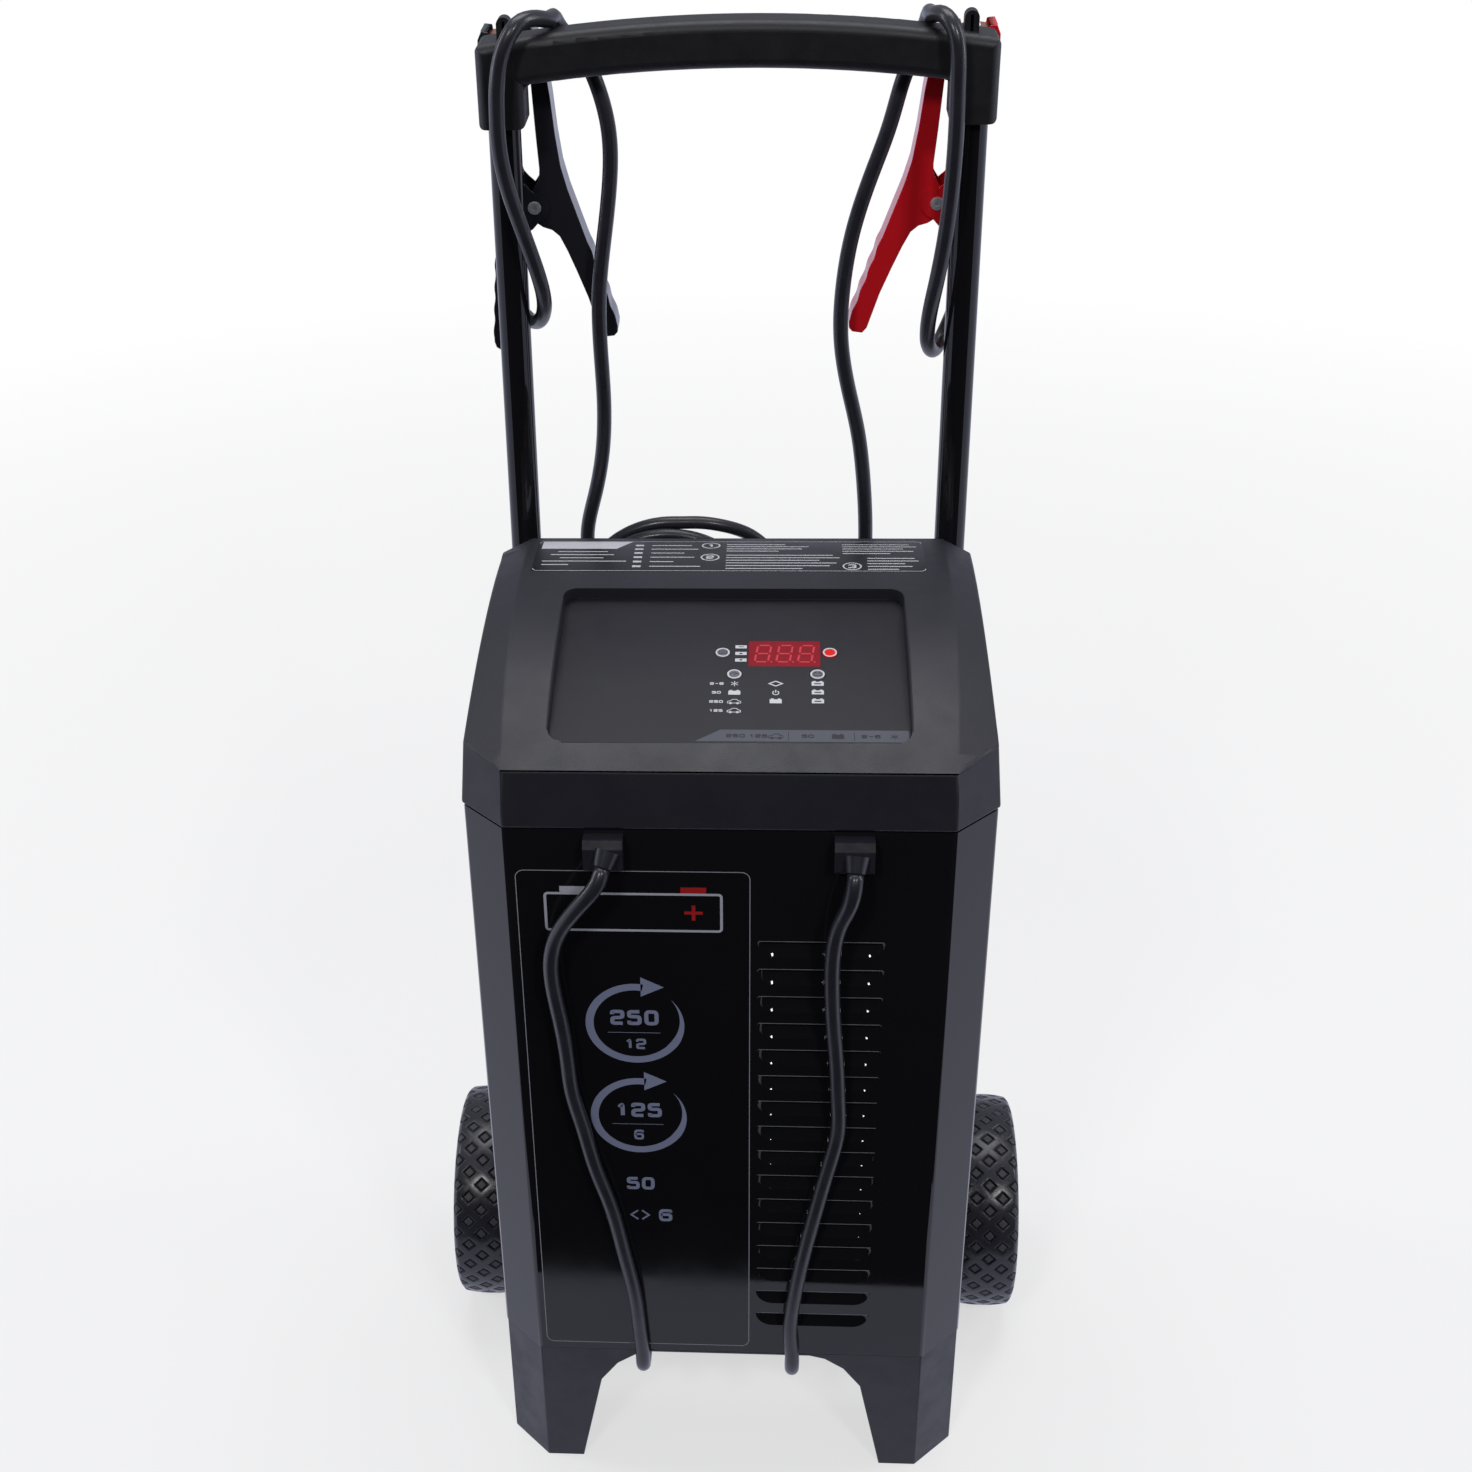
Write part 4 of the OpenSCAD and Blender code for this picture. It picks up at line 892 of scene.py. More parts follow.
RIGHT_ROUTE = (
    (678, -140, 4790), (671, -186, 4725), (648, -190, 4610), (600, -160, 4460), (570, -135, 4240),
    (570, -120, 4030), (585, -100, 3740), (610, -80, 3440), (625, -70, 3170), (630, -60, 2920),
    (590, -60, 2680), (540, -60, 2430), (480, -60, 2110), (435, -60, 1850), (390, -60, 1510),
    (375, -60, 1240), (390, -58, 1040), (390, -50, 960), (390, -15, 900), (390, 60, 860),
    (400, 260, 845), (400, 600, 830), (410, 1000, 820), (430, 1400, 835), (450, 1740, 846),
    (470, 2080, 838), (490, 2340, 850), (500, 2530, 910), (500, 2650, 1040), (510, 2700, 1220),
    (530, 2700, 1600), (560, 2700, 2200), (600, 2700, 2900), (660, 2700, 3600), (730, 2700, 4300),
    (790, 2700, 4900), (805, 2700, 5420), (780, 2700, 5800), (735, 2700, 6120), (665, 2700, 6420),
    (620, 2710, 6710), (625, 2720, 7010), (675, 2730, 7340), (775, 2750, 7670), (870, 2765, 7950),
    (935, 2784, 8190), (985, 2790, 8320), (1023, 2788, 8420), (1043, 2778, 8480),
    (1052, 2754, 8520), (1055, 2735, 8543), (1058, 2706, 8559), (1066, 2620, 8566),
    (1094, 2520, 8590), (1133, 2437, 8587), (1170, 2390, 8538), (1194, 2365, 8440),
    (1203, 2362, 8270), (1208, 2368, 8060), (1205, 2380, 7780), (1185, 2400, 7440),
    (1150, 2430, 7150), (1120, 2520, 6880), (1130, 2620, 6700), (1170, 2730, 6615),
    (1210, 2830, 6620), (1255, 2910, 6685), (1304, 2940, 6810), (1323, 2940, 6950),
    (1323, 2940, 7070), (1323, 2940, 7160),
)
LEAD_ROUTE = (
    (300, 2580, 4550), (300, 2660, 4550), (305, 2750, 4600), (310, 2790, 4730), (310, 2780, 4930),
    (280, 2730, 5150), (200, 2660, 5330), (70, 2600, 5470), (-80, 2565, 5540), (-220, 2552, 5568),
    (-330, 2552, 5568),
)


@dataclass
class BatteryCables:
    """The two battery cables, from the front outlets round the back to the clamps."""

    diameter: float = 0.009
    step: float = 0.004
    around: int = 18

    def build(self) -> None:
        for side, route in (("left", LEFT_ROUTE), ("right", RIGHT_ROUTE)):
            line = spline(np.array(route) * ROUTE_UNIT - ORIGIN, self.step)
            cable = swept(f"{side}_cable_jacket", line, self.diameter / 2, self.around)
            dress(cable, CABLE_PVC)
            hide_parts(f"{side}_battery_cable")
            log.info("%s cable: %.3f m", side, line_length(line))


@dataclass
class MainsLead:
    """The mains lead: out of its gland, into a two-layer coil on a hook, down to its plug."""

    diameter: float = 0.008
    step: float = 0.003
    around: int = 16
    middle: Pair = (-0.041, 0.4978)
    start_radius: float = 0.059
    pitch: float = 0.0086
    turns_in: float = 2.75
    turns_out: float = 2.5
    back: float = 0.2552
    front: float = 0.2464
    tail: float = 0.056
    coil_points: int = 400
    tail_points: int = 24

    def coil(self) -> Array:
        """Points of the coil: a spiral inward in the back layer and outward in the front one.

        The radius is the inner radius plus the pitch times the turns from the reversal, and the
        depth climbs by a smooth step in the half turn about the reversal.
        """
        t = np.linspace(0, self.turns_in + self.turns_out, self.coil_points)
        inner = self.start_radius - self.pitch * self.turns_in
        radius = inner + self.pitch * np.abs(t - self.turns_in)
        s = np.clip(2 * (t - self.turns_in) + 0.5, 0, 1)
        y = self.back + (self.front - self.back) * s * s * (3 - 2 * s)
        angle = math.pi / 2 + TAU * t
        return np.stack(
            [self.middle[0] + radius * np.cos(angle), y, self.middle[1] + radius * np.sin(angle)], 1
        )

    def build(self) -> None:
        lead = spline(np.array(LEAD_ROUTE) * ROUTE_UNIT - ORIGIN, self.step)
        coil = self.coil() - ORIGIN
        drop = np.array([0, 0, self.diameter + self.tail])
        tail = np.linspace(coil[-1], coil[-1] - drop, self.tail_points)[1:]
        line = resample(np.concatenate([lead, coil, tail]), self.step)
        made = swept("mains_lead_jacket", line, self.diameter / 2, self.around)
        dress(made, CABLE_PVC)
        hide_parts("mains_lead", "mains_coil", "mains_tail")
        log.info("mains lead: %.3f m", line_length(line))


# --- Studio ---

# The floor's own glow: its share near the object and far away, and those two distances.
FLOOR_GLOW = {"From Min": 0.6, "From Max": 2.2, "To Min": 0.62, "To Max": 1.0}
# Least share of that glow in reflections.
MIRRORED_GLOW = 0.85
FLOOR_HALF = 30.0
WHITE = (1.0, 1.0, 1.0, 1.0)


@dataclass
class Studio:
    """Pale floor, soft lamps and the camera."""

    position: Triple = (0.02204, -0.92522 - ORIGIN_DEPTH, 1.10666)
    turns: Triple = (-4.42, 31.92, -1.85)
    focal_px: float = 2080.22
    centre_px: Pair = (633.57, 778.17)
    image_px: int = 1472
    sensor: float = 36.0
    sky_soft: float = 0.25
    sky_mirrored: float = 0.47
    # Name, place, the height that it points at, its two sides and its watts.
    lamps: tuple[tuple[str, Triple, float, Pair, float], ...] = (
        ("left_box", (-0.62, -1.75, 2.05), 0.2, (0.3, 0.3), 11),
        ("right_box", (0.82, -1.75, 2.05), 0.2, (0.3, 0.3), 11),
        ("top_box", (0.0, 0.5, 2.7), 0.4, (1.8, 1.2), 24),
        ("left_strip", (-1.9, 0.2, 1.3), 0.5, (0.35, 1.6), 9),
        ("right_strip", (1.9, 0.2, 1.3), 0.5, (0.35, 1.6), 9),
    )
    # Corners of the two dark cards, four each.
    cards: tuple[Triple, ...] = (
        (-0.32, -0.31, 0.002), (-4.5, -2.4, 0.002), (4.5, -2.4, 0.002), (0.32, -0.297, 0.002),
        (-4.5, -2.4, 0.0), (4.5, -2.4, 0.0), (4.5, -2.4, 4.5), (-4.5, -2.4, 4.5),
    )

    def camera(self) -> None:
        """Set the camera from its position, its yaw, pitch and roll and its focal length."""
        data = bpy.data.cameras.new("camera")
        data.sensor_width = self.sensor
        data.lens = self.sensor * self.focal_px / self.image_px
        data.shift_x = (self.image_px / 2 - self.centre_px[0]) / self.image_px
        data.shift_y = (self.centre_px[1] - self.image_px / 2) / self.image_px
        data.clip_end = 2 * FLOOR_HALF
        yaw, pitch, roll = (math.radians(a) for a in self.turns)
        level = math.cos(pitch)
        ahead = Vector((math.sin(yaw) * level, math.cos(yaw) * level, -math.sin(pitch)))
        right = Vector((math.cos(yaw), -math.sin(yaw), 0))
        up = right.cross(ahead)
        across = right * math.cos(roll) + up * math.sin(roll)
        upward = up * math.cos(roll) - right * math.sin(roll)
        holder = bpy.data.objects.new("camera", data)
        turn = Matrix((across, upward, -ahead)).transposed().to_4x4()
        turn.translation = Vector(self.position)
        holder.matrix_world = turn
        bpy.context.scene.collection.objects.link(holder)
        bpy.context.scene.camera = holder

    def light(self) -> None:
        """Add the soft boxes, each pointing at a height on the object's axis."""
        for name, place, aim, sides, watts in self.lamps:
            data = bpy.data.lights.new(name, "AREA")
            data.shape = "RECTANGLE"
            data.size, data.size_y = sides
            data.energy = watts
            holder = bpy.data.objects.new(name, data)
            holder.location = Vector(place)
            way = Vector((0, 0, aim)) - Vector(place)
            holder.rotation_euler = way.to_track_quat("-Z", "Y").to_euler()
            bpy.context.scene.collection.objects.link(holder)

    def floor(self) -> None:
        """Lay a wide floor: white paper that keeps a soft shadow near the object.

        To the camera and to reflections it is white paper that glows by itself the more, the
        further it lies from the object.  To soft bounces it is grey, so that little light comes
        up from below.
        """
        half = FLOOR_HALF
        points = np.array([(-half, -half, 0), (half, -half, 0), (half, half, 0), (-half, half, 0)])
        made = new_mesh("floor", points, [[0, 1, 2, 3]], smooth=False)
        material = bpy.data.materials.new("pale floor")
        tree = empty_tree(material)
        rays = add_node(tree, "LightPath", {}).outputs
        seen, glossy = rays["Is Camera Ray"], rays["Is Glossy Ray"]
        for other in (glossy, rays["Is Transmission Ray"]):
            seen = add_node(tree, "Math", {0: seen, 1: other}, operation="MAXIMUM")
        where = add_node(tree, "TexCoord", {}).outputs["Object"]
        away = add_node(tree, "VectorMath", {0: where}, operation="LENGTH").outputs["Value"]
        glow_share = add_node(tree, "MapRange", {"Value": away, **FLOOR_GLOW})
        pale = add_node(tree, "Math", {0: glossy, 1: MIRRORED_GLOW}, operation="MULTIPLY")
        pale = add_node(tree, "Math", {0: pale, 1: glow_share}, operation="MAXIMUM")
        share = add_node(tree, "Math", {0: seen, 1: pale}, operation="MULTIPLY")
        greys = {0: seen, 6: linear("#8c8c8e"), 7: linear("#f4f4f4")}
        tone = add_node(tree, "Mix", greys, data_type="RGBA").outputs[2]
        paper = add_node(tree, "BsdfDiffuse", {"Color": tone})
        tints = {0: glossy, 6: WHITE, 7: linear("#d8dcf4")}
        cool = add_node(tree, "Mix", tints, data_type="RGBA").outputs[2]
        glow = add_node(tree, "Emission", {"Color": cool, "Strength": 1.0})
        mixed = add_node(tree, "MixShader", {0: share, 1: paper, 2: glow})
        add_node(tree, "OutputMaterial", {"Surface": mixed})
        made.data.materials.append(material)

    def flag(self) -> None:
        """Set two dark cards in front that only mirror reflections see.

        They keep the gloss black front and its louvres deep, and leave the pale strip of floor
        next to the object.
        """
        faces = [[0, 1, 2, 3], [4, 5, 6, 7]]
        made = new_mesh("studio_flags", np.array(self.cards), faces, smooth=False)
        material = bpy.data.materials.new("black studio card")
        tree = empty_tree(material)
        card = add_node(tree, "BsdfDiffuse", {"Color": linear("#0c0c0e")})
        add_node(tree, "OutputMaterial", {"Surface": card})
        made.data.materials.append(material)
        for rays in ("camera", "diffuse", "transmission", "shadow", "volume_scatter"):
            setattr(made, "visible_" + rays, False)

    def world(self) -> None:
        """Set an even sky: white to the camera, pale to reflections, faint to soft light."""
        world = bpy.data.worlds.new("studio")
        tree = empty_tree(world)
        rays = add_node(tree, "LightPath", {}).outputs
        clear = {0: rays["Is Camera Ray"], 1: rays["Is Transmission Ray"]}
        seen = add_node(tree, "Math", clear, operation="MAXIMUM")
        mirrored = {0: rays["Is Glossy Ray"], 1: self.sky_mirrored}
        strength = add_node(tree, "Math", mirrored, operation="MULTIPLY")
        for other in (seen, self.sky_soft):
            strength = add_node(tree, "Math", {0: strength, 1: other}, operation="MAXIMUM")
        tints = {0: seen, 6: linear("#e2e4f6"), 7: WHITE}
        tint = add_node(tree, "Mix", tints, data_type="RGBA").outputs[2]
        glow = add_node(tree, "Background", {"Color": tint, "Strength": strength})
        add_node(tree, "OutputWorld", {"Surface": glow})
        bpy.context.scene.world = world

    def build(self) -> None:
        """Set up everything that isn't the object."""
        self.camera()
        self.world()
        self.floor()
        self.flag()
        self.light()
        bpy.context.scene.view_settings.view_transform = "Standard"


# --- Wheels ---


@dataclass(frozen=True)
class TreadRubber(Finish):
    """Tyre rubber: ribs rolled smooth and bright, pocket floors left sandy by the mould, grooves
    painted near black as shade.
    """

    floor_roughness: float = 0.55
    # Near black painted into the grooves round the pocket floors as shade.
    groove: str = "#09090b"
    floor: str = "#43434b"
    sand: float = 1400.0
    sand_height: float = 0.25

    def shader(self, tree: Tree, where: Socket) -> Node:
        """Add the difference between ribs and floors, and the painted shade in the grooves, from
        the tread's own attributes.

        Args:
            tree: The material's node tree.
            where: The object coordinates, in metres.

        Returns:
            The shader node.
        """
        shader = super().shader(tree, where)
        rib, floor = (
            add_node(tree, "Attribute", {}, attribute_name=name).outputs["Fac"]
            for name in ("rib", "floor")
        )
        base, rough = (
            shader.inputs[name].links[0].from_socket for name in ("Base Color", "Roughness")
        )
        # Painted shade: what is not rib turns near black, then the floors get their paler tone
        # back.
        tones = {0: rib, 6: linear(self.groove), 7: base}
        shaded_grooves = add_node(tree, "Mix", tones, data_type="RGBA").outputs[2]
        tones = {0: floor, 6: shaded_grooves, 7: linear(self.floor)}
        base = add_node(tree, "Mix", tones, data_type="RGBA").outputs[2]
        values = {0: rib, 2: self.floor_roughness, 3: rough}
        rough = add_node(tree, "Mix", values, data_type="FLOAT").outputs[0]
        sand = add_node(tree, "TexNoise", {"Vector": where, "Scale": self.sand, "Detail": 2.0})
        rest = add_node(tree, "Math", {0: 1.0, 1: rib}, operation="SUBTRACT")
        height = add_node(tree, "Math", {0: sand, 1: rest}, operation="MULTIPLY")
        under = self.relief(tree, where)
        raised = {"Height": height, "Distance": self.sand_height * MM, "Normal": under}
        bump = add_node(tree, "Bump", raised).outputs[0]
        for name, socket in (("Base Color", base), ("Roughness", rough), ("Normal", bump)):
            tree.links.new(socket, shader.inputs[name])
        return shader


TREAD = TreadRubber(
    "carbon black tread rubber", "#2a2a31", "#34343c", 0.27, 0.08, 25, 0.35, 0.02)


@dataclass
class Tyre:
    """A tyre: a crowned band with round shoulders and a net of ribs round sunken lozenges."""

    name: str
    body: Body
    side: int
    phase: float
    radius: float = 73.0
    crown: float = 90.0
    shoulder: float = 8.0
    shoulder_start: float = math.radians(37)
    half_width: float = 20.0
    wheel_mid: float = 171.7
    axle: Pair = (174.0, 73.0)
    lozenges: int = 27
    half_lozenge: float = 8.8
    fine: int = 15
    columns: int = 39
    # Half lozenges across from which the tread is plain, and a number past that for the walls.
    plain_across: float = 2.5
    beyond: float = 9.0
    # Fine steps from a lozenge's middle up to which its floor goes, and from which a rib goes.
    floor_to: int = 6
    rib_from: int = 8
    # The pattern's depth in millimetres by the fine steps from a lozenge's middle.
    depths: tuple[Pair, ...] = (
        (5, 0.2), (6, 0.9), (7, 1.3), (8, 0.9), (9, 0.1), (11, 0.03), (15, 0.0),
    )
    # Radius of each step down the side wall, and how far it lies inside the half width.
    wall: tuple[Pair, ...] = (
        (64.4, 0.0), (62.6, 0.0), (62.2, 0.6), (61.2, 0.6), (60.8, 0.0), (57.0, 0.0), (56.7, 0.4),
        (55.4, 0.4), (55.0, 1.0), (52.0, 1.4),
    )

    def crown_profile(self, run: Array) -> tuple[Array, Array]:
        """Follow the crown and a shoulder by arc length.

        The crown is a circle of the crown radius about a point inside the wheel.  Past its end
        the shoulder is a circle of the shoulder radius.

        Args:
            run: Arc length from the middle of the crown, negative on the inner side.

        Returns:
            Points as (radius, along) and their outward normals.
        """
        reach = np.abs(run)
        turn = np.sign(run)
        inset = self.half_width - self.shoulder
        start_x = inset + self.shoulder * math.sin(self.shoulder_start)
        end = self.crown * math.asin(start_x / self.crown)
        on_crown = reach <= end
        a = reach / self.crown
        b = np.minimum(self.shoulder_start + (reach - end) / self.shoulder, math.pi / 2)
        lean = np.where(on_crown, a, b)
        r = np.where(
            on_crown,
            self.radius - self.crown + self.crown * np.cos(a),
            self.radius - self.shoulder + self.shoulder * np.cos(b),
        )
        x = np.where(on_crown, self.crown * np.sin(a), inset + self.shoulder * np.sin(b))
        return np.stack([r, turn * x], 1), np.stack([np.cos(lean), turn * np.sin(lean)], 1)

    def sink(self, across: Array, round_: Array) -> tuple[Array, Array, Array]:
        """Depth of the tread pattern.

        Lozenges stand on the even points of a lattice.  A point's distance from its lozenge's
        middle is the larger of its two diagonal coordinates: a raised floor below a third, a
        V-shaped groove round it up to three fifths, and a rib that is slightly crowned.

        Args:
            across: Columns from the middle, in half lozenges.
            round_: Steps round the wheel, in half lozenges.

        Returns:
            Depth in millimetres, 1 on the ribs, and 1 on the pocket floors.
        """
        u, v = across + round_, across - round_
        u, v = u - 2 * np.round(u / 2), v - 2 * np.round(v / 2)
        far = np.maximum(np.abs(u), np.abs(v)) * self.fine
        far = np.where(np.abs(across) > self.plain_across, self.fine, far)
        depth = np.interp(far, *zip(*self.depths))
        return depth, np.clip(far - self.rib_from, 0, 1), np.clip(self.floor_to - far, 0, 1)

    def build(self) -> None:
        """Make the tyre and let it stand for its node."""
        step = self.half_lozenge / self.fine
        run = np.arange(-self.columns, self.columns + 1) * step
        points, normals = self.crown_profile(run)
        outer = np.array([(r, self.half_width - sink) for r, sink in self.wall])
        profile = np.concatenate([outer[::-1] * (1, -1), points, outer])
        facing = np.concatenate([np.zeros_like(outer), normals, np.zeros_like(outer)])
        beyond = np.full(len(outer), self.beyond)
        across = np.concatenate([-beyond, run / self.half_lozenge, beyond])
        rows = self.lozenges * 2 * self.fine
        steps = np.arange(rows) / self.fine
        depth, rib, floor = self.sink(across[None, :], steps[:, None])
        profile = profile[None] - depth[..., None] * facing[None]
        turn = np.radians(steps * 180 / self.lozenges + self.phase)[:, None]
        r, x = profile[..., 0], profile[..., 1]
        y, z = self.axle[0] - r * np.cos(turn), self.axle[1] + r * np.sin(turn)
        grid = np.stack([self.side * (self.wheel_mid + x), y, z], axis=-1)
        columns = grid.shape[1]
        quads = grid_faces(rows, columns, wrap_rows=True, wrap_columns=True)
        quads = quads.reshape(rows, columns, 4)
        low, high = len(outer), len(outer) + 2 * self.columns
        tread = quads[:, low:high]
        mid_across = (across[low:high] + 0.5 / self.fine)[None, :]
        mid_round = (steps + 0.5 / self.fine)[:, None]
        u, v = mid_across + mid_round, mid_across - mid_round
        falling = np.abs(u - 2 * np.round(u / 2)) > np.abs(v - 2 * np.round(v / 2))
        tread = np.where(falling[..., None], np.roll(tread, 1, axis=-1), tread).reshape(-1, 4)
        triangles = np.concatenate([tread[:, [0, 1, 2]], tread[:, [0, 2, 3]]])
        rest = np.concatenate([quads[:, :low], quads[:, high:]], axis=1).reshape(-1, 4)
        points = grid.reshape(-1, 3) * MM - ORIGIN
        made = new_mesh(self.name, points, triangles.tolist() + rest.tolist())
        for title, values in (("rib", rib), ("floor", floor)):
            mark = made.data.attributes.new(title, "FLOAT", "POINT")
            mark.data.foreach_set("value", values.ravel())
        turn_out(made)
        dress(made, TREAD, self.body)
        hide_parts(self.name.replace("_tread", "_tyre"))


# --- Printed marks on the cabinet, the panel and the cover ---


@dataclass
class FrontDecal:
    """The film on the front's left half: outline, two rating rings and plain figures.

    Places are millimetres across the front and up from the floor.
    """

    sides: tuple[float, float, float, float] = (-116.0, 12.0, 107.0, 469.5)
    corner: float = 5.0
    line: float = 0.45
    rings: tuple[tuple[float, float, str, str], ...] = (
        (-52.9, 364.4, "250", "12"),
        (-52.5, 296.0, "125", "6"),
    )
    ring_radius: float = 28.4
    ring_band: float = 4.6
    ring_share: float = 0.35
    # Degrees at which a ring starts, begins to narrow and stops.
    ring_turns: tuple[int, int, int] = (80, 330, 400)
    ring_points: int = 97
    film_steps: int = 9

    def film(self) -> None:
        """Lay the clear-coated film and print the thin pale line round it."""
        film = Print("front_film", front_place, -0.05, 0.05)
        film.bar(*self.sides, self.film_steps)
        film.build(DECAL_FILM, "cabinet_paint")
        line = Print("front_film_line", front_place, -0.02, 0.09)
        line.frame(*self.sides, self.corner, self.line)
        line.build(LINE_INK, "cabinet_paint")

    def ring(self, ink: Print, centre: Pair) -> None:
        """Add one ring that narrows at its top right, with an arrowhead at its other end.

        The band's edges close on each other as the angle nears the ring's open end.

        Args:
            ink: The print that takes the marks.
            centre: The ring's centre.
        """
        start, fade_from, stop = self.ring_turns
        turn = np.linspace(start, stop, self.ring_points)
        angle = np.radians(turn)
        way = np.stack([np.cos(angle), np.sin(angle)], axis=1)
        fade = np.clip((stop - turn) / (stop - fade_from), 0.0, 1.0)[:, None]
        middle, radius = np.array(centre), self.ring_radius
        outer = radius - (1 - fade) * self.ring_band * self.ring_share
        inner = radius - self.ring_band * (self.ring_share + (1 - self.ring_share) * fade)
        ink.strip(middle + outer * way, middle + inner * way)
        head = middle + np.array([(3.5, radius - 9.0), (16.5, radius - 2.2), (3.5, radius + 4.6)])
        ink.shape(head, tuple(head.mean(axis=0)))

    def figures(self) -> None:
        """Print the rings, their plain figures and the two rows below them."""
        ink = Print("front_figures", front_place, -0.02, 0.1)
        for x, z, upper, lower in self.rings:
            self.ring(ink, (x, z))
            ink.figures(upper, (x - 0.5, z + 4.4), 10.8, 0.76, 0.22)
            ink.bar(x - 16, x + 14, z - 6.6, z - 6.3)
            ink.figures(lower, (x - 0.5, z - 14.6), 7.6, 0.76, 0.2)
        ink.figures("50", (-53.0, 243.0), 9.8, 0.78, 0.22)
        for text, x in (("2", -70.5), ("6", -38.6)):
            ink.figures(text, (x, 217.4), 9.8, 0.82, 0.22)
        ink.stroke([(-55.2, 221.0), (-59.4, 217.4), (-55.2, 213.8)], 1.1)
        ink.stroke([(-52.8, 213.8), (-48.6, 217.4), (-52.8, 221.0)], 1.1)
        ink.build(BLUE_INK, "cabinet_paint")

    def battery(self) -> None:
        """Print a plain battery sign: a case with its two poles and their signs."""
        silver = Print("front_battery_sign", front_place, -0.02, 0.1)
        silver.frame(-101.0, -3.0, 429.0, 455.0, 2.5, 1.5)
        silver.bars([(-92.0, -78.0, 454.9, 459.0), (-90.0, -80.0, 441.0, 443.0)])
        silver.build(SILVER_INK, "cabinet_paint")
        red = Print("front_battery_pole", front_place, -0.02, 0.1)
        red.bars([(-26.0, -12.0, 455.05, 459.0), (-24.0, -14.0, 441.0, 443.0)])
        red.bars([(-20.0, -18.0, 437.0, 440.95), (-20.0, -18.0, 443.05, 447.0)])
        red.build(SIGN_RED, "cabinet_paint")

    def build(self) -> None:
        """Make every print of the front."""
        self.film()
        self.figures()
        self.battery()


@dataclass
class LouvreEdgeHighlights:
    """A painted highlight over each louvre's slit: a pale line that stands in for the light caught
    by the sheet's cut edge.
    """

    count: int = 16
    pitch: float = 19.1
    top: float = 423.23
    left: float = 16.8
    right: float = 85.2
    width: float = 0.42

    def build(self) -> None:
        """Make the sixteen painted highlight lines."""
        # Painted highlight: one thin pale bar along the top edge of each slit.
        edges = Print("louvre_edge_highlights", front_place, -0.02, 0.06)
        slits = (self.top - row * self.pitch for row in range(self.count))
        edges.bars((self.left, self.right, slit, slit + self.width) for slit in slits)
        edges.build(LOUVRE_EDGE_HIGHLIGHT, "cabinet_paint")


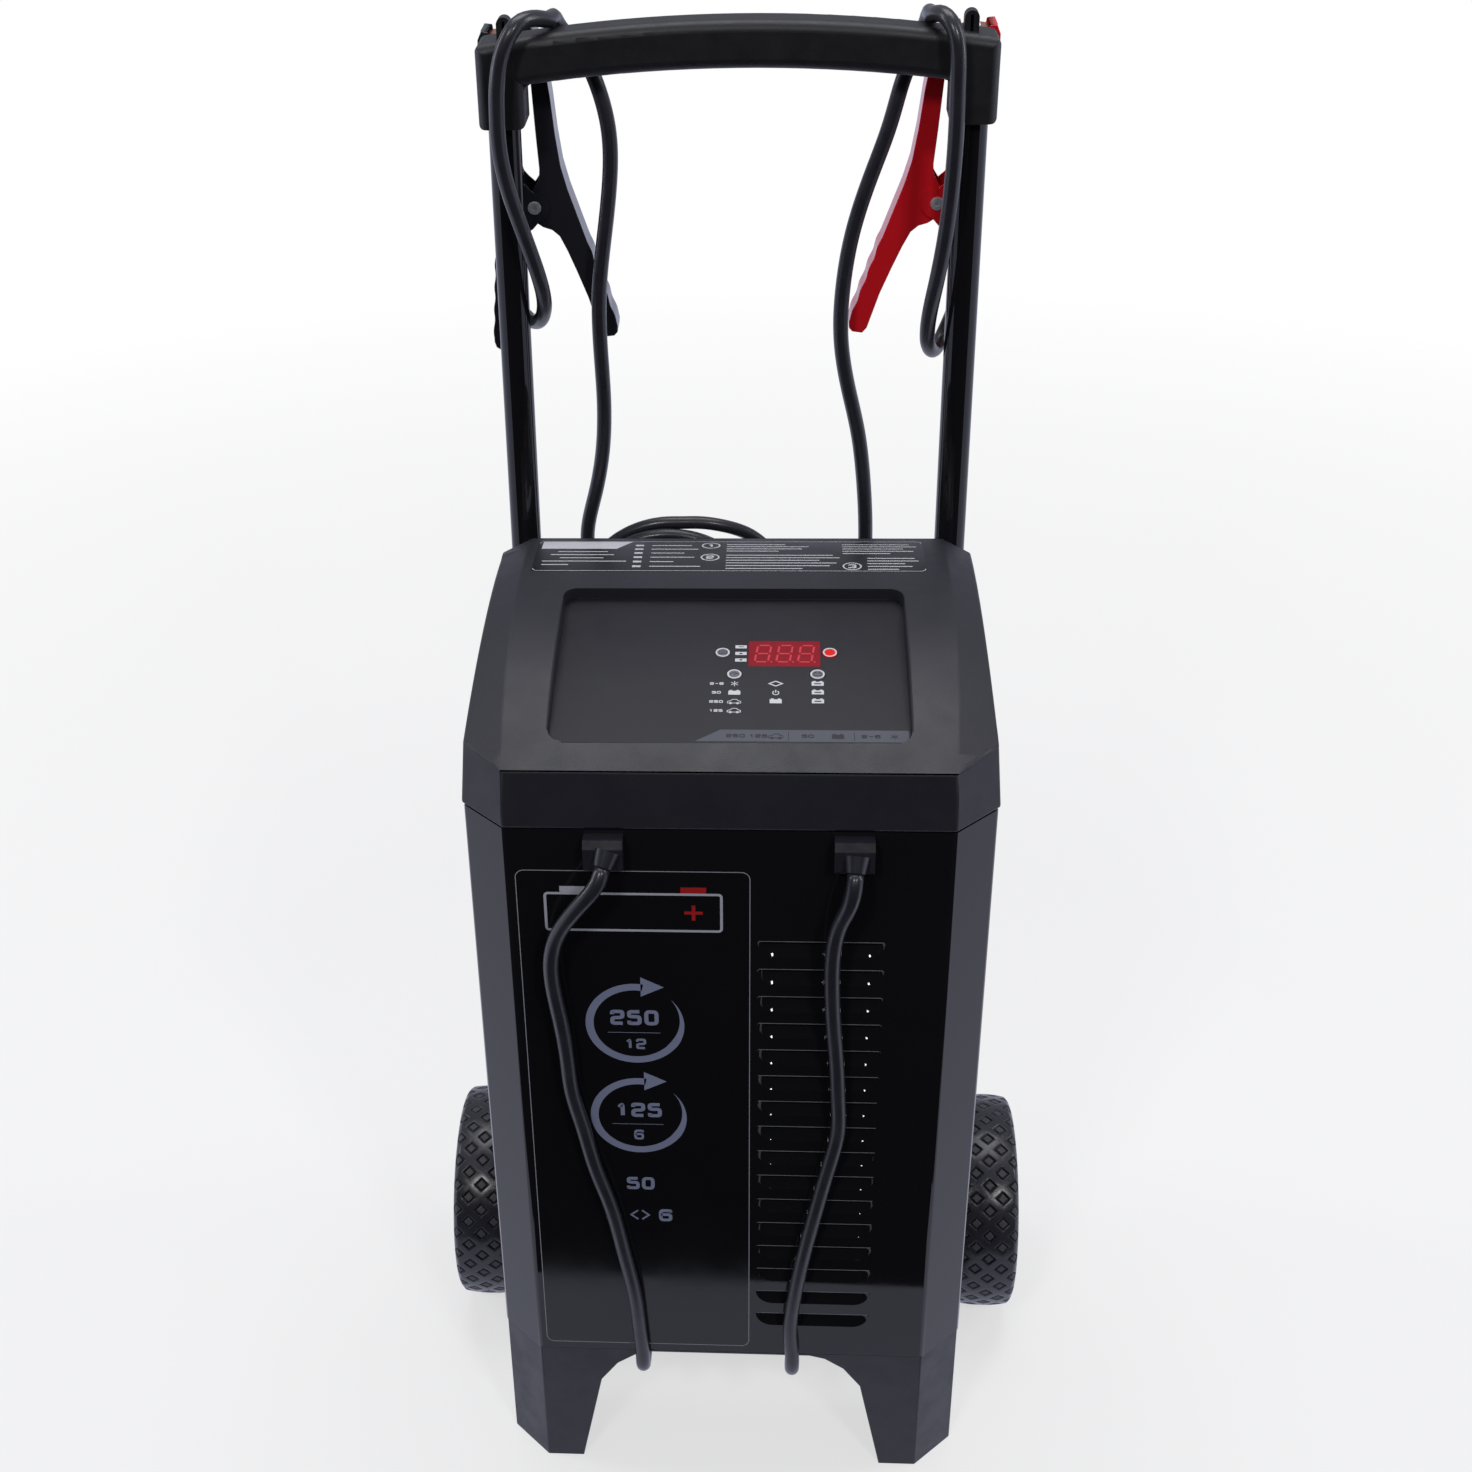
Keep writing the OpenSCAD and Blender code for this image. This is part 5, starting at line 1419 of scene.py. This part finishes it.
@dataclass
class PanelPrint:
    """Marks on the control panel: rings round the keys, lamp signs, digits and the slate band.

    Places are millimetres across the panel and up its slope.
    """

    bodies: tuple[Body, ...] = (
        Body.START_KEY, Body.READOUT_KEY, Body.RATE_KEY, Body.BATTERY_KEY,
    )
    keys: tuple[Pair, ...] = ((54.8, 80.2), (-4.9, 79.8), (1.9, 60.7), (47.7, 60.9))
    ring: Pair = (3.05, 3.9)
    tiles: Triple = (85.6, 79.7, 73.8)
    lamp_rows: tuple[tuple[float, str], ...] = (
        (53.1, "2-6"), (45.5, "50"), (37.7, "250"), (30.1, "125"),
    )
    left_lamps: float = 2.2
    mid_lamps: float = 24.8
    batteries: tuple[Pair, ...] = ((47.7, 53.6), (47.7, 46.2), (47.7, 38.6))
    line: float = 0.42
    car_line: tuple[Pair, ...] = (
        (-3.6, -1.2), (-3.5, 0.2), (-2.0, 0.6), (-0.9, 1.9), (1.3, 1.9), (2.3, 0.7), (3.5, 0.3),
        (3.6, -1.2),
    )
    digits: Triple = (17.6, 29.6, 41.6)
    digit_middle: float = 79.7
    digit_size: Pair = (7.4, 14.6)
    slant: float = 0.13
    segment: float = 1.15
    # Left end, length and height of the band's low and high edge.
    band_edges: tuple[Triple, ...] = ((-18.0, 113.6, 4.7), (-4.6, 100.4, 14.3))
    band_steps: int = 12
    band_figures: tuple[tuple[str, float], ...] = (
        ("250", 3.5), ("125", 15.5), ("50", 42.0), ("2-6", 75.5),
    )

    def key_rings(self) -> None:
        """Print the pale ring on each key's cap, so that it travels with the key."""
        for place, body in zip(self.keys, self.bodies):
            ink = Print(f"{body.value}_ring", panel_place, 0.65, 0.78)
            ink.arc(place, *self.ring)
            ink.build(WHITE_INK, "start_red" if body is Body.START_KEY else "key_grey", body)

    def battery(self, ink: Print, place: Pair) -> None:
        """Add a small battery sign."""
        u, v = place
        ink.bar(u - 3.3, u + 3.3, v - 1.9, v + 1.4)
        ink.bars((u + left, u + left + 1.5, v + 1.3, v + 2.1) for left in (-2.6, 1.1))

    def car(self, ink: Print, place: Pair, size: float = 1.0) -> None:
        """Add the outline of a small car seen from its side."""
        u, v = place
        line = [(u + size * a, v + size * b) for a, b in self.car_line]
        ink.stroke(line, self.line * size, closed=True)
        for wheel in (-1.9, 1.9):
            ink.arc((u + size * wheel, v - 1.3 * size), 0.25 * size, 0.85 * size)

    def flake(self, ink: Print, place: Pair, size: float = 2.2) -> None:
        """Add a six-armed star for the holding charge."""
        u, v = place
        for turn in (30, 90, 150):
            a, b = size * math.cos(math.radians(turn)), size * math.sin(math.radians(turn))
            ink.stroke([(u - a, v - b), (u + a, v + b)], self.line)

    def signs(self) -> None:
        """Print the three legend tiles, the signs over the lamps and the plain ratings."""
        ink = Print("panel_signs", panel_place, -0.02, 0.08)
        ink.bars((2.1, 8.5, v - 1.35, v + 1.35) for v in self.tiles)
        signs = (self.flake, self.battery, self.car, self.car)
        for sign, (v, _) in zip(signs, self.lamp_rows):
            sign(ink, (self.left_lamps, v))
        u = self.mid_lamps
        ink.stroke([(u - 3.6, 53.3), (u, 55.4), (u + 3.6, 53.3), (u, 51.2)], 0.75, closed=True)
        ink.arc((u, 45.4), 1.35, 1.95, 125, 415)
        ink.bar(u - 0.3, u + 0.3, 45.6, 47.9)
        for place in ((u, 38.4), *self.batteries):
            self.battery(ink, place)
        for v, text in self.lamp_rows:
            ink.figures(text, (-7.6, v), 2.1, 1.1, 0.24)
        ink.build(WHITE_INK, "overlay_film")

    def key_signs(self) -> None:
        """Print one sign on each grey key's cap: a display, a gauge and a battery."""
        grey = self.bodies[1:]
        inks = [Print(f"{body.value}_sign", panel_place, 0.66, 0.76) for body in grey]
        readout, gauge, pack = inks
        (u, v), (gauge_u, gauge_v), (pack_u, pack_v) = self.keys[1:]
        readout.frame(u - 2.2, u + 2.2, v - 1.5, v + 1.5, 0.5, 0.4)
        readout.bar(u - 1.4, u + 1.4, v - 0.2, v + 0.2)
        gauge.arc((gauge_u, gauge_v - 1.0), 2.0, 2.4, 5, 175)
        gauge.stroke([(gauge_u - 0.2, gauge_v - 1.0), (gauge_u + 1.2, gauge_v + 0.5)], 0.45)
        pack.frame(pack_u - 2.2, pack_u + 2.2, pack_v - 1.4, pack_v + 1.1, 0.3, 0.4)
        poles = (pack_u - 1.6, pack_u + 0.7)
        pack.bars((left, left + 0.9, pack_v + 1.12, pack_v + 1.7) for left in poles)
        for ink, body in zip(inks, grey):
            ink.build(DARK_INK, "key_grey", body)

    def dark_marks(self) -> None:
        """Print the dark signs that lie on the pale ones and in the band."""
        ink = Print("panel_dark_marks", panel_place, 0.0, 0.14)
        for v, turn in zip(self.tiles[1:], (1, -1)):
            point = np.array([(5.3, v + 0.75 * turn), (6.4, v - 0.6 * turn), (4.2, v - 0.6 * turn)])
            ink.shape(point[::-turn], (5.3, v - 0.1 * turn))
        ink.bar(3.9, 6.7, 85.35, 85.85)
        ink.bars((u - 1.9, u + 1.9, v - 0.75, v + 0.15) for u, v in self.batteries)
        ink.bars((u, u + 0.35, 5.9, 12.7) for u in (31.5, 66.5))
        self.car(ink, (25.0, 9.0), 1.05)
        self.battery(ink, (58.0, 9.2))
        self.flake(ink, (88.0, 9.2))
        for text, u in self.band_figures:
            ink.figures(text, (u, 9.3), 2.7, 1.15, 0.24)
        ink.build(DARK_INK, "overlay_film")

    def segments(self) -> None:
        """Print the digits' seven slanted segments and points on the window's face."""
        ink = Print("display_segments", panel_place, -0.02, 0.06)
        wide, high = (side / 2 for side in self.digit_size)
        for u in self.digits:
            lines = [((-wide + 0.9, level), (wide - 0.9, level)) for level in (-high, 0.0, high)]
            for side in (-wide, wide):
                for low in (-high, 0.0):
                    lines.append(((side, low + 0.95), (side, low + high - 0.95)))
            for line in lines:
                ends = [(u + a + self.slant * b, self.digit_middle + b) for a, b in line]
                ink.stroke(ends, self.segment)
            ink.arc((u + wide + 1.9 - self.slant * high, self.digit_middle - high), 0.0, 0.6)
        ink.build(DIGIT_RED, "red_window")

    def band(self) -> None:
        """Print the slate band along the panel's front edge."""
        ink = Print("panel_band", panel_place, -0.02, 0.05)
        u = np.linspace(0, 1, self.band_steps)
        edges = self.band_edges
        ink.strip(*(np.stack([left + wide * u, v + 0 * u], 1) for left, wide, v in edges))
        ink.build(BAND_INK, "overlay_film")

    def build(self) -> None:
        """Make every print of the panel."""
        self.signs()
        self.key_rings()
        self.key_signs()
        self.band()
        self.dark_marks()
        self.segments()


@dataclass
class CoverLabel:
    """The film along the cover's rear: three plain steps, each a circled figure and its rules.

    Places are millimetres across the cover and back from the front face.
    """

    sides: tuple[float, float, float, float] = (-119.0, 112.0, 170.0, 222.0)
    steps: tuple[tuple[str, Pair], ...] = (
        ("1", (-14.5, 213.0)), ("2", (-14.5, 191.5)), ("3", (69.0, 177.5)),
    )
    # The title's block: its low, high and left side, its right side at the low end, and how
    # far that side leans for each millimetre of depth.
    title: tuple[float, ...] = (206.5, 220.6, -116.5, -71.0, 0.62)
    film_steps: int = 15
    title_steps: int = 5
    # First row, pitch, half height and the left and right ends of each rule.
    rules: tuple[tuple[float, float, float, tuple[Pair, ...]], ...] = (
        (201.0, 5.4, 0.5, ((-106, -76), (-110, -72), (-104, -78), (-114, -64), (-114, -98))),
        (213.0, 7.2, 0.5, ((-50, -26), (-50, -22), (-50, -30), (-50, -24), (-50, -36), (-50, -20))),
        (215.0, 4.2, 0.5, ((-5, 30), (-5, 44), (-5, 40), (-5, 26))),
        (195.0, 4.2, 0.5, ((-5, 58), (-5, 62), (-5, 50), (-5, 60), (-5, 56), (-5, 40))),
        (215.0, 4.2, 0.5, ((64, 104), (64, 108), (64, 100), (64, 106), (64, 92))),
        (190.0, 4.2, 0.5, ((78, 106), (78, 108), (78, 100), (78, 104), (78, 96))),
        (213.0, 7.2, 1.3, ((-60, -55),) * 6),
    )

    def build(self) -> None:
        """Lay the film and print its marks."""
        left, right, low, high = self.sides
        film = Print("cover_label", crown_place, -0.1, 0.07)
        y = np.linspace(low, high, self.film_steps)
        film.strip(np.stack([right + 0 * y, y], 1), np.stack([left + 0 * y, y], 1))
        film.build(LABEL_FILM, "overlay_film")
        ink = Print("cover_label_marks", crown_place, -0.02, 0.11)
        ink.frame(left + 0.4, right - 0.4, low + 0.4, high - 0.4, 3.0, 0.4)
        low, high, left, right, lean = self.title
        y = np.linspace(low, high, self.title_steps)
        ink.strip(np.stack([right + (y - low) * lean, y], 1), np.stack([left + 0 * y, y], 1))
        for _, place in self.steps:
            ink.arc(place, 4.7, 5.6)
        for text, place in self.steps:
            ink.figures(text, place, 5.6, 0.85, 0.22)
        for first, pitch, half, spans in self.rules:
            for row, (start, stop) in enumerate(spans):
                y_row = first - row * pitch
                ink.bar(start, stop, y_row - half, y_row + half, 3)
        ink.build(WHITE_INK, "overlay_film")


def main() -> None:
    """Build the classes in order, from the camera and the cords to the trim."""
    logging.basicConfig(level=logging.INFO, format="%(message)s")
    Studio().build()
    dress_nodes()
    BatteryCables().build()
    MainsLead().build()
    Tyre("left_tread", Body.LEFT_WHEEL, -1, 4.6).build()
    Tyre("right_tread", Body.RIGHT_WHEEL, 1, 9.8).build()
    for shell in SHELLS:
        shell.build()
    for marks in (FrontDecal(), LouvreEdgeHighlights(), PanelPrint(), CoverLabel()):
        marks.build()


if __name__ == "__main__":
    main()
